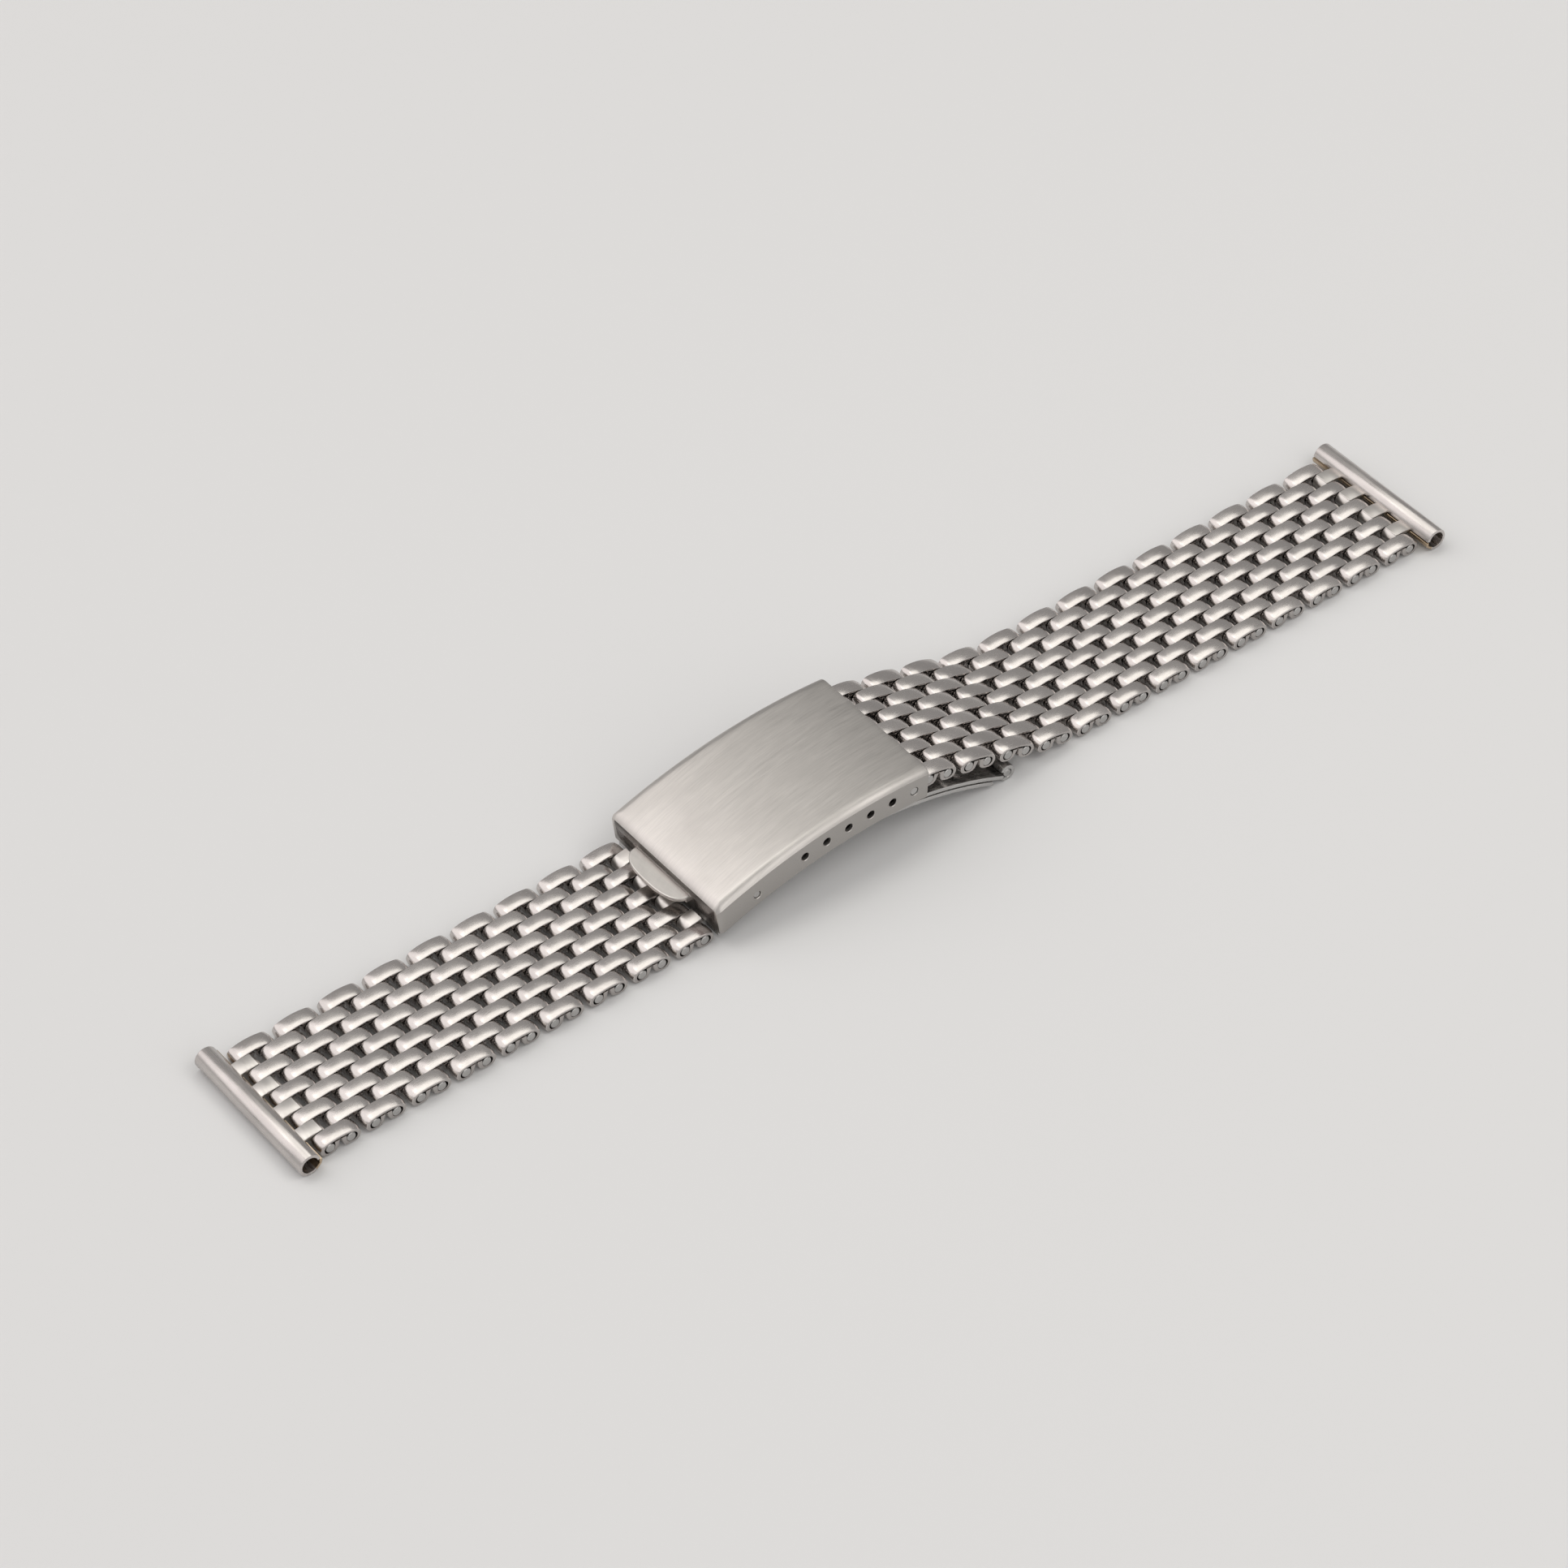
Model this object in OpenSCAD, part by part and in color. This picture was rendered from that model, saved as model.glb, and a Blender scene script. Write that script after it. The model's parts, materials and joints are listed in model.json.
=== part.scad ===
// Multi-row link watch bracelet with a fold-over clasp, lying closed on a flat surface.
// Millimetres. The surface is z = 0, x runs along the bracelet and y across it.
// Side profiles are drawn with x to the right and z up, then given their width along y.

/* [Links] */
// Width of one link along its pin
link_w = 1.72; // [1.4:0.02:2.2]
// Gap between neighbouring columns of links
column_gap = 0.065; // [0.04:0.005:0.12]
// Links in a wide row; a narrow row has one fewer
wide_links = 5; // [3:1:7]
// Distance between two rows of the same kind
link_pitch = 5.14; // [5.08:0.02:5.6]
// Overall length of one link
link_len = 4.74; // [4.5:0.02:4.8]
// Distance between the two pins held by a wide row
wide_span = 2.34; // [2.2:0.02:2.5]
// Outer radius of the curl round a pin
curl_r = 0.86; // [0.82:0.01:0.9]
// Thickness of the strip that a link is bent from
strip_t = 0.34; // [0.28:0.01:0.36]
// Radius of the domed top of a link
crown_r = 7; // [5:0.5:14]
// Slit between the two tails under a link
tail_slit = 0.2; // [0.1:0.02:0.3]
// Height of the tails above the pin centres
tail_rise = 0.42; // [0.3:0.02:0.46]

/* [Pins and fits] */
// Diameter of the cross pins
pin_d = 1.0; // [0.9:0.02:1.02]
// Radial room round a pin in the wide links that hold it
held_gap = 0.02; // [0.01:0.01:0.03]
// Radial room round a pin in the links that turn on it
run_gap = 0.04; // [0.02:0.01:0.06]
// Relief outside each pin in a wide link
curl_relief = 0.16; // [0.05:0.01:0.2]

/* [Band] */
// Wide rows between the clasp and the left end
left_rows = 9; // [6:1:9]
// Wide rows from the spring bar to the right end
right_rows = 13; // [8:1:13]
// Distance from the spring bar to the first right pin
bar_span = 2.45; // [2.4:0.01:2.5]
// Slopes of the rows that come down from the clasp, in degrees
drape = [-9.3, -12, -14.5, -15.5, -15.5, -17.5, -18]; // [-20:0.1:0]

/* [End pieces] */
// Outer radius of the rolled end tube
tube_r = 1.2; // [1.15:0.05:1.3]
// Radius of the bore for the watch's spring bar
tube_bore_r = 0.88; // [0.7:0.01:0.9]
// Length of the end tube, for an 18 mm gap between lugs
tube_len = 17.8; // [17:0.1:19.8]
// Distance from the last pin to the tube's centre
tube_reach = 2.85; // [2.8:0.05:3.2]
// Thickness of the tongues and of the tube's lip
tongue_t = 0.32; // [0.26:0.01:0.34]

/* [Clasp cover] */
// Outside width of the cover
cover_w = 17.4; // [17.3:0.1:18.4]
// Thickness of the cover's sheet
cover_t = 0.45; // [0.35:0.05:0.5]
// Radius of the cover's curve along the bracelet
cover_arc_r = 60.6; // [59.5:0.1:62]
// Height of the cover's crest above the surface
cover_top = 8.2; // [8.1:0.05:8.5]
// Crest of the cover, measured from the last left pin
cover_arc_x = 21.37; // [21:0.05:21.8]
// Angle from the crest to the cover's left end
cover_left = 19.6; // [19:0.1:20]
// Angle from the crest to the cover's right end
cover_right = 5.4; // [5:0.1:6]
// Depth of the side flanges
flange_h = 3.5; // [3.2:0.05:3.6]
// Radius of the cover's rounded long edges
edge_r = 1.2; // [0.8:0.1:1.6]
// Lean of the cover's front wall in degrees
front_lean = 6; // [4:0.5:8]
// Number of adjusting holes in each flange
hole_count = 6; // [4:1:6]
// Distance between adjusting holes along the curve
hole_pitch = 2.7; // [2.4:0.05:2.8]
// Radius of an adjusting hole
hole_r = 0.46; // [0.44:0.01:0.5]
// Depth of the holes under the cover's top
hole_depth = 1.95; // [1.85:0.05:2]

/* [Clasp blades] */
// Radius of the upper blade's top surface
blade_arc_r = 42; // [41:0.5:44]
// Crest of the blades, measured from the last left pin
blade_arc_x = 18.1; // [17.8:0.1:18.4]
// Height of the upper blade's crest above the surface
blade_top = 5.24; // [5.2:0.01:5.3]
// Thickness of each blade
blade_t = 0.45; // [0.4:0.05:0.5]
// Gap between the two folded blades
blade_gap = 0.15; // [0.1:0.05:0.2]
// Room between the blades' edges and the flanges
side_gap = 0.15; // [0.1:0.05:0.3]
// Place of the cover hinge along the bracelet
hinge_x = 5.9; // [5.6:0.1:6.4]
// Place of the rolled fold hinge along the bracelet
roll_x = 37.4; // [37:0.1:37.8]
// Radius of the cover hinge pin
hinge_pin_r = 0.4; // [0.35:0.01:0.45]
// Radius of the fold hinge pin
roll_pin_r = 0.45; // [0.4:0.01:0.5]
// Outer radius of the rolled knuckles
roll_r = 0.92; // [0.9:0.01:0.96]
// Half width of the middle knuckle
knuckle_half = 4.3; // [3:0.1:5.5]

/* [Finger tab and catch] */
// Width of the finger tab
tab_w = 8.7; // [7:0.1:9.6]
// How far the half-moon stands out of the cover
tab_reach = 2; // [1.5:0.05:2.1]
// Height of the tab's top above the surface
tab_top = 3.5; // [3.4:0.05:3.6]
// Step down from the tab to the strip that carries it in under the cover
tab_step = 0.3; // [0.1:0.05:0.35]
// Height of the catch ears above the surface
catch_top = 2.6; // [2.4:0.05:2.8]

/* [Spring bar] */
// Outer radius of the spring bar's barrel
barrel_r = 0.75; // [0.7:0.01:0.8]
// Radius of the spring bar's tips
tip_r = 0.4; // [0.36:0.01:0.4]
// Travel of each tip into the barrel
tip_travel = 0.8; // [0.6:0.05:0.85]
// Place of the spring bar along the bracelet
bar_x = 25.2; // [25.1:0.05:25.3]

/* [Hidden] */
$fn = 64;
eps = 0.02;

// Rows across the band
narrow_links = wide_links - 1;
column_pitch = link_w + column_gap;
columns = wide_links + narrow_links;
band_w = columns * link_w + (columns - 1) * column_gap;
function column_y(c) = -band_w / 2 + c * column_pitch;
wide_columns = [for (i = [0 : wide_links - 1]) 2 * i];
narrow_columns = [for (i = [0 : narrow_links - 1]) 2 * i + 1];

// Shape of a link
pin_r = pin_d / 2;
narrow_span = link_pitch - wide_span;
curl_in = tail_slit / 2 + curl_r;
curl_out = link_len / 2 - curl_r;
crown_drop = sqrt(pow(crown_r - curl_r, 2) - pow(curl_out, 2));
crown_angle = asin(curl_out / (crown_r - curl_r));
crown_reach = 3 * curl_r;
held_bore = pin_r + held_gap;
run_bore = pin_r + run_gap;

// Pins of the left band, counted from the clasp; all lie flat
pin_z = curl_r;
left_end_x = -(left_rows - 1) * link_pitch - wide_span;

// Clasp curves
cover_z = cover_top - cover_arc_r;
hole_arc_r = cover_arc_r - hole_depth;
function cover_point(r, a) = [cover_arc_x + r * sin(a), cover_z + r * cos(a)];
bar_angle = asin((bar_x - cover_arc_x) / hole_arc_r);
bar_point = cover_point(hole_arc_r, bar_angle);
hole_step = hole_pitch / hole_arc_r * 180 / PI;
blade_z = blade_top - blade_arc_r;
upper_in = blade_arc_r - blade_t;
lower_out = upper_in - blade_gap;
lower_in = lower_out - blade_t;
function blade_height(r, x) = blade_z + sqrt(r * r - pow(x - blade_arc_x, 2));
blade_w = cover_w - 2 * cover_t - 2 * side_gap;
hinge_roll_r = hinge_pin_r + run_gap + blade_t;
hinge_arc = upper_in + hinge_roll_r;
hinge_point = [hinge_x, blade_height(hinge_arc, hinge_x)];
roll_point = [roll_x, roll_r];

// Path of the right band from the spring bar down to the surface
right_segments = 2 * right_rows;
function segment_len(k) = k == 0 ? bar_span : k % 2 == 0 ? narrow_span : wide_span;
drape_n = len(drape);
function drop_after(k) = k == 0 ? 0 : drop_after(k - 1) + segment_len(k - 1) * sin(drape[k - 1]);
landing_drop = bar_point[1] + drop_after(drape_n) - pin_z;
landing_lift = (link_len / 2 - curl_r - narrow_span / 2) * landing_drop / link_pitch;
landing = -asin((landing_drop - landing_lift) / link_pitch);
levelling = -asin(landing_lift / wide_span);
function slope(k) = k < drape_n ? drape[k] : k < drape_n + 2 ? landing
    : k == drape_n + 2 ? levelling : 0;
function right_pin(k) = k == 0 ? bar_point
    : right_pin(k - 1) + segment_len(k - 1) * [cos(slope(k - 1)), sin(slope(k - 1))];
right_end = right_pin(right_segments);

// The origin is under the middle of the whole bracelet
x_low = left_end_x - tube_reach - tube_r;
x_high = right_end[0] + tube_reach + tube_r;
x_mid = (x_low + x_high) / 2;

// Names of the rows, counted from the clasp outwards

echo(x_mid = x_mid, bar = bar_point, hinge = hinge_point, roll = roll_point);
echo(right_pins = [for (k = [0 : right_segments]) right_pin(k)]);

// Building helpers

// Gives a side profile its width from y0 to y1
module across(y0, y1) {
    translate([-x_mid, y1, 0]) rotate([90, 0, 0]) linear_extrude(y1 - y0) children();
}

// A round pin along y
module pin_at(p, r, y0, y1) {
    across(y0, y1) translate(p) circle(r);
}

// The part of a ring between two x values, on the upper side of its circle
module arc_band(r0, r1, x0, x1) {
    intersection() {
        translate([blade_arc_x, blade_z]) difference() {
            circle(r1, $fn = 360);
            circle(r0, $fn = 360);
        }
        translate([x0, 0]) square([x1 - x0, blade_top]);
    }
}

// A sector of the plane, used to open a ring between two angles
module sector(a0, a1, r) {
    polygon([[0, 0], r * [cos(a0), sin(a0)], r * [cos((a0 + a1) / 2), sin((a0 + a1) / 2)] * 1.2,
        r * [cos(a1), sin(a1)]]);
}

// Links

// Outside of a link: two curls under a domed strip
module link_outline() {
    for (s = [-1, 1]) {
        translate([s * curl_in, 0]) circle(curl_r);
        translate([s * curl_out, 0]) circle(curl_r);
        translate([s * (curl_in + curl_out) / 2, 0])
            square([curl_out - curl_in, 2 * curl_r], center = true);
    }
    intersection() {
        translate([0, -crown_drop]) circle(crown_r, $fn = 256);
        polygon([[-curl_out, 0], [curl_out, 0],
            [curl_out + crown_reach * sin(crown_angle), crown_reach * cos(crown_angle)],
            [-curl_out - crown_reach * sin(crown_angle), crown_reach * cos(crown_angle)]]);
    }
}

// Slit between the tails, and the gap over them under the domed strip
module link_voids(span) {
    translate([-tail_slit / 2, -curl_r]) square([tail_slit, curl_r + tail_rise + eps]);
    intersection() {
        translate([0, -crown_drop]) circle(crown_r - strip_t, $fn = 256);
        translate([-span / 2, tail_rise]) square([span, curl_r]);
    }
}

// Bore of one curl, let out by the relief on its outer side
module curl_bore(side, span, r, relief) {
    translate([side * span / 2, 0]) circle(r);
    if (relief > 0) {
        translate([side * (span / 2 + relief), 0]) circle(r);
        translate([side * (span + relief) / 2, 0]) square([relief, 2 * r], center = true);
    }
}

// Side profile of a link on pins at both ends
module link_profile(span, r, relief) {
    difference() {
        link_outline();
        link_voids(span);
        for (side = [-1, 1]) curl_bore(side, span, r, relief);
    }
}

// Side profile of a link of the first row, whose left curl is large enough for the spring bar
module bar_link_profile() {
    bar_bore = barrel_r + run_gap;
    curl_x = narrow_span / 2 - bar_span;
    translate([(bar_span - narrow_span) / 2, 0]) difference() {
        union() {
            link_outline();
            translate([curl_x, 0]) circle(bar_bore + strip_t * 0.75);
        }
        link_voids(narrow_span);
        curl_bore(1, narrow_span, run_bore, 0);
        translate([curl_x, 0]) circle(bar_bore);
    }
}

// Repeats a side profile at each column in the list
module in_columns(list) {
    for (c = list) across(column_y(c), column_y(c) + link_w) children();
}

// Places a profile midway between two pins
module between(p, q) {
    translate((p + q) / 2) rotate(atan2(q[1] - p[1], q[0] - p[0])) children();
}

// A wide row: its links and the pins that they hold
module wide_row(p, q) {
    in_columns(wide_columns) between(p, q) link_profile(wide_span, held_bore, curl_relief);
    pin_at(p, pin_r, -band_w / 2, band_w / 2);
    pin_at(q, pin_r, -band_w / 2, band_w / 2);
}

// A narrow row turns on the pins of the wide rows beside it
module narrow_row(p, q) {
    in_columns(narrow_columns) between(p, q) link_profile(narrow_span, run_bore, 0);
}

function left_pin(i) = [-(i - 1) * link_pitch, pin_z];

module left_wide_row(i) {
    color([0.78, 0.75, 0.73]) wide_row(left_pin(i) - [wide_span, 0], left_pin(i));
}

module left_narrow_row(i) {
    color([0.72, 0.69, 0.67]) narrow_row(left_pin(i + 1), left_pin(i) - [wide_span, 0]);
}

module right_wide_row(i) {
    color([0.78, 0.75, 0.73]) wide_row(right_pin(2 * i - 1), right_pin(2 * i));
}

// The first narrow row hangs on the spring bar
module right_narrow_row(i) {
    k = 2 * i - 2;
    color([0.72, 0.69, 0.67])
        if (i == 1) in_columns(narrow_columns) between(right_pin(k), right_pin(k + 1))
            bar_link_profile();
        else narrow_row(right_pin(k), right_pin(k + 1));
}

// End pieces, drawn with the last pin at the left and the tube at the right

tube_centre = [tube_reach, tube_r - pin_z];
tongue_top = curl_r;
tongue_low = curl_r - tongue_t - 0.02;
mouth_a = 170;
mouth_b = 233;
lip_x = tube_reach - tube_r - 0.13;

module tube_profile() {
    wall_dir = [cos(mouth_b + 4), sin(mouth_b + 4)];
    lip_top = tongue_low - 0.08;
    translate(tube_centre) difference() {
        circle(tube_r);
        circle(tube_bore_r);
        sector(mouth_a, mouth_b, 2 * tube_r);
    }
    polygon([tube_centre + (tube_r - eps) * wall_dir, tube_centre + (tube_bore_r + eps) * wall_dir,
        [lip_x + tongue_t, lip_top - tube_r / 3], [lip_x + tongue_t, lip_top], [lip_x, lip_top],
        [lip_x, lip_top - tube_r / 3]]);
}

module end_tongue_profile() {
    difference() {
        union() {
            circle(curl_r);
            translate([0, tongue_low]) square([tube_reach - tube_r * 0.75, tongue_top - tongue_low]);
            translate([-curl_r * 0.45, tongue_low]) square([curl_r, tongue_top - tongue_low]);
        }
        circle(run_bore);
        translate(tube_centre) circle(tube_bore_r + eps);
    }
}

module end_piece(pin, side) {
    across(-tube_len / 2, tube_len / 2) translate(pin) scale([side, 1]) tube_profile();
    in_columns(narrow_columns) translate(pin) scale([side, 1]) end_tongue_profile();
}

module left_end_piece() {
    color([0.74, 0.7, 0.67]) end_piece([left_end_x, pin_z], -1);
}

module right_end_piece() {
    color([0.74, 0.7, 0.67]) end_piece(right_end, 1);
}

// Clasp cover

// Section of the sheet across the bracelet; x is the distance from the arc's centre
module cover_section(inset) {
    r = edge_r - inset;
    w = cover_w / 2 - inset;
    top = cover_arc_r - inset;
    low = cover_arc_r - flange_h - inset;
    translate([low, -w]) square([top - r - low, 2 * w]);
    translate([low, -w + r]) square([top - low, 2 * (w - r)]);
    for (s = [-1, 1]) translate([top - r, s * (w - r)]) circle(r);
}

// Turns a section into an arc about the cover's centre, longer by extra at both ends
module cover_arc(extra) {
    translate([cover_arc_x - x_mid, 0, cover_z]) rotate([90, 0, 0])
        rotate([0, 0, 90 - cover_right - extra])
            rotate_extrude(angle = cover_left + cover_right + 3 + 2 * extra, $fn = 360)
                children();
}

front_top = cover_point(cover_arc_r, -cover_left);
notch_top = tab_top - tab_step + 0.1;
front_low = 1.8;

// The half plane left of the cover's front edge, which leans with the front wall
module before_front(shift) {
    translate([front_top[0] + shift, front_top[1]]) rotate(front_lean)
        translate([-10, -15]) square([10, 30]);
}

module front_wall_profile() {
    intersection() {
        difference() {
            before_front(cover_t);
            before_front(0);
        }
        translate([cover_arc_x, cover_z]) circle(cover_arc_r - cover_t / 2, $fn = 360);
        translate([front_top[0] - 5, front_low]) square([10, cover_top]);
    }
}

// Turns children to a place on the cover's hole line
module at_hole(a) {
    p = cover_point(hole_arc_r, a);
    translate([p[0] - x_mid, 0, p[1]]) rotate([90, 0, 0]) children();
}

module clasp_cover() {
    inner_y = cover_w / 2 - cover_t;
    color([0.72, 0.7, 0.66]) difference() {
        union() {
            difference() {
                cover_arc(0) cover_section(0);
                cover_arc(1) cover_section(cover_t);
                across(-cover_w, cover_w) before_front(0);
            }
            across(-inner_y + side_gap, inner_y - side_gap) front_wall_profile();
        }
        across(-tab_w / 2 - 0.3, tab_w / 2 + 0.3)
            translate([front_top[0] - 5, 0]) square([10, notch_top]);
        for (i = [0 : hole_count - 1]) at_hole(bar_angle - i * hole_step)
            cylinder(r = hole_r, h = 2 * cover_w, center = true);
        pin_at(hinge_point, hinge_pin_r + held_gap, -cover_w, cover_w);
    }
}

module cover_hinge_pin() {
    color([0.6, 0.6, 0.62]) pin_at(hinge_point, hinge_pin_r, -cover_w / 2 + 0.1, cover_w / 2 - 0.1);
}

// Clasp blades

shoulder_x = roll_x - 1.8;
roll_bore = roll_pin_r + run_gap;
knuckle_gap = 0.15;

module middle_blade() {
    half = blade_w / 2;
    outer = knuckle_half + knuckle_gap;
    color([0.66, 0.66, 0.68]) {
        difference() {
            across(-half, half) arc_band(upper_in, blade_arc_r, hinge_x, shoulder_x);
            pin_at(hinge_point, hinge_pin_r + run_gap, -half - 1, half + 1);
        }
        across(-half, half) translate(hinge_point) difference() {
            circle(hinge_roll_r);
            circle(hinge_pin_r + run_gap);
            sector(20, 70, 2);
        }
        for (s = [-1, 1]) across(min(s * outer, s * half), max(s * outer, s * half)) difference() {
            union() {
                arc_band(upper_in, blade_arc_r, shoulder_x - eps, roll_x - 0.3);
                translate(roll_point) difference() {
                    circle(roll_r);
                    sector(140, 185, 2);
                }
            }
            translate(roll_point) circle(roll_bore);
        }
    }
}

module fold_hinge_pin() {
    color([0.6, 0.6, 0.62]) pin_at(roll_point, roll_pin_r, -blade_w / 2, blade_w / 2);
}

// Left edge of the bottom blade, clear of the turning links
blade_left = link_len / 2 - wide_span / 2 + 0.3;

module bottom_blade() {
    half = blade_w / 2;
    neck_top = blade_height(lower_out, shoulder_x);
    neck_low = blade_height(lower_in, shoulder_x);
    color([0.66, 0.66, 0.68]) {
        across(-half, half) arc_band(lower_in, lower_out, blade_left, shoulder_x);
        // Tongues round the last left pin, with flat tops
        in_columns(narrow_columns) difference() {
            union() {
                arc_band(lower_in, lower_out, pin_r, blade_left + eps);
                translate(left_pin(1)) circle(curl_r);
                translate([-0.7, 2 * curl_r - tongue_t]) square([1.65, tongue_t]);
            }
            translate(left_pin(1)) circle(run_bore);
        }
        // Middle knuckle of the fold hinge
        across(-knuckle_half, knuckle_half) difference() {
            union() {
                polygon([[shoulder_x - eps, neck_low], [roll_x, 0], [roll_x, blade_t],
                    [shoulder_x - eps, neck_top]]);
                translate(roll_point) circle(roll_r);
            }
            translate(roll_point) circle(roll_bore);
        }
    }
}

// Finger tab and catch

tab_root = 1.9;
tab_foot = hinge_x - hinge_roll_r - 0.35;
tab_edge = 0.87;
tab_tip = tab_edge - tab_reach;
tab_half = tab_w / 2;
tab_fullness = 2.6;

// Height of the tab's foot over the bottom blade
foot_in = lower_out + 0.01;

module tab_foot_profile(top) {
    difference() {
        union() {
            arc_band(lower_out, lower_out + blade_t, tab_root, tab_foot);
            translate([tab_root, 1]) square([blade_t, top - 1]);
        }
        translate([blade_arc_x, blade_z]) circle(foot_in, $fn = 360);
    }
}

module tab_plate_profile() {
    translate([tab_tip, tab_top - blade_t]) square([tab_reach, blade_t]);
    translate([tab_edge - blade_t, tab_top - tab_step - blade_t])
        square([tab_root - tab_edge + blade_t * 1.5, blade_t]);
}

// Seen from above: a straight inner edge and a full rounded outer edge
module tab_outline() {
    steps = 24;
    polygon([for (i = [0 : steps]) let (a = 180 * i / steps, c = cos(a))
        [tab_edge - tab_reach * pow(sin(a), 2 / tab_fullness),
            tab_half * sign(c) * pow(abs(c), 2 / tab_fullness)]]);
}

// One bent sheet: a foot, a riser with a catch ear at each side, and the half-moon tab
module finger_tab() {
    half = blade_w / 2;
    color([0.8, 0.79, 0.75]) {
        across(-half, half) tab_foot_profile(catch_top);
        intersection() {
            across(-tab_half, tab_half) {
                tab_foot_profile(tab_top - tab_step - eps);
                tab_plate_profile();
            }
            translate([-x_mid, 0, 0]) linear_extrude(cover_top) {
                tab_outline();
                translate([tab_edge - eps, -tab_half]) square([tab_foot, tab_w]);
            }
        }
    }
}

// Spring bar

barrel_half = cover_w / 2 - cover_t - side_gap;
barrel_wall = 0.18;
barrel_bore = barrel_r - barrel_wall;
plunger_r = barrel_bore - 0.03;
cap_t = 0.3;
plunger_out = barrel_half - cap_t - 0.05;
plunger_in = plunger_out - 3.15;

module bar_barrel() {
    color([0.62, 0.62, 0.64]) difference() {
        pin_at(bar_point, barrel_r, -barrel_half, barrel_half);
        pin_at(bar_point, barrel_bore, -barrel_half + cap_t, barrel_half - cap_t);
        pin_at(bar_point, tip_r + 0.03, -barrel_half - 1, barrel_half + 1);
    }
}

module bar_tip(side) {
    tip_end = cover_w / 2 - 0.1;
    color([0.62, 0.62, 0.64]) {
        pin_at(bar_point, plunger_r, min(side * plunger_in, side * plunger_out),
            max(side * plunger_in, side * plunger_out));
        pin_at(bar_point, tip_r, min(side * (plunger_out - 1), side * tip_end),
            max(side * (plunger_out - 1), side * tip_end));
    }
}

module bar_tip_near() bar_tip(-1);
module bar_tip_far() bar_tip(1);

// Shown at its shortest, so that both tips have their travel
module bar_spring() {
    reach = plunger_in - tip_travel - 0.1;
    color([0.5, 0.5, 0.52]) difference() {
        pin_at(bar_point, plunger_r, -reach, reach);
        pin_at(bar_point, plunger_r - 0.2, -reach - 1, reach + 1);
    }
}

clasp_cover();
cover_hinge_pin();
middle_blade();
fold_hinge_pin();
bottom_blade();
finger_tab();
bar_barrel();
bar_tip_near();
bar_tip_far();
bar_spring();
for (i = [1 : left_rows])
    left_wide_row(i);
for (i = [1 : left_rows - 1])
    left_narrow_row(i);
for (i = [1 : right_rows])
    right_wide_row(i);
for (i = [1 : right_rows])
    right_narrow_row(i);
left_end_piece();
right_end_piece();
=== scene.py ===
"""Looks for a multi-row link watch bracelet with a fold-over clasp."""

import json
import math

import bmesh
import bpy
from bpy.props import FloatProperty, FloatVectorProperty, IntProperty, PointerProperty
from mathutils import Matrix, Vector

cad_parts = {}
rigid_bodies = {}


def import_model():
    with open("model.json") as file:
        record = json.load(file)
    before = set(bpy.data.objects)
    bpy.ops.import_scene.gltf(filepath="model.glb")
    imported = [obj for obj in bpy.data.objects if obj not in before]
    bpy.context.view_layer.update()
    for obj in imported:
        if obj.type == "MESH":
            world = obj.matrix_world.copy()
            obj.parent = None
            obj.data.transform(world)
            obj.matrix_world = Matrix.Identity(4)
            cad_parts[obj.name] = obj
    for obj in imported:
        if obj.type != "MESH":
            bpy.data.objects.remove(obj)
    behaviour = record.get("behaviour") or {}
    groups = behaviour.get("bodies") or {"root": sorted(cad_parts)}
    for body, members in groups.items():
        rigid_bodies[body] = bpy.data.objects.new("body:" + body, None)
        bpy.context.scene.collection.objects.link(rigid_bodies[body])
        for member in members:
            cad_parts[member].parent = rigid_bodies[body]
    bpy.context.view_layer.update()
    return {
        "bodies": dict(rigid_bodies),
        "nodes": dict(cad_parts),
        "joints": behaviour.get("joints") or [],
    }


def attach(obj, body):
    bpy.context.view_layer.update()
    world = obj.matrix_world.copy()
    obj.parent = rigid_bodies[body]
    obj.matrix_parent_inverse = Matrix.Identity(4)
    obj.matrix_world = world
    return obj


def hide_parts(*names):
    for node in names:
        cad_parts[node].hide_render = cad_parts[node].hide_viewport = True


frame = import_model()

bl_info = {
    "name": "Link watch bracelet",
    "version": (1, 0, 0),
    "blender": (4, 5, 0),
    "location": "View3D > Sidebar > Bracelet",
    "description": "Builds the links, clasp and end pieces of a multi-row watch bracelet",
    "category": "Object",
}

JOINTS = {j["name"]: j for j in frame["joints"]}


def mm(value):
    """Millimetres as metres."""
    return value * 0.001


def joint_point(name):
    """Where a hinge's pin stands, as x and z."""
    pos = JOINTS[name]["pos_m"]
    return pos[0], pos[2]


ZERO_X, PIN_Z = joint_point("left_hinge_0")
BAR = joint_point("right_hinge_0")
COVER_HINGE = joint_point("clasp_open")
FOLD_HINGE = joint_point("blade_unfold")


def along(value):
    """A distance from the last left pin, in millimetres, as x in the model's frame."""
    return ZERO_X + mm(value)


# Sizes and colours


def length(name, text, value):
    return FloatProperty(name=name, description=text, default=mm(value), unit="LENGTH", precision=5)


def colour(name, text, value):
    return FloatVectorProperty(
        name=name, description=text, default=value, subtype="COLOR", size=3, min=0, max=1
    )


def factor(name, text, value):
    return FloatProperty(
        name=name, description=text, default=value, min=0, max=1, subtype="FACTOR"
    )


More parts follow.
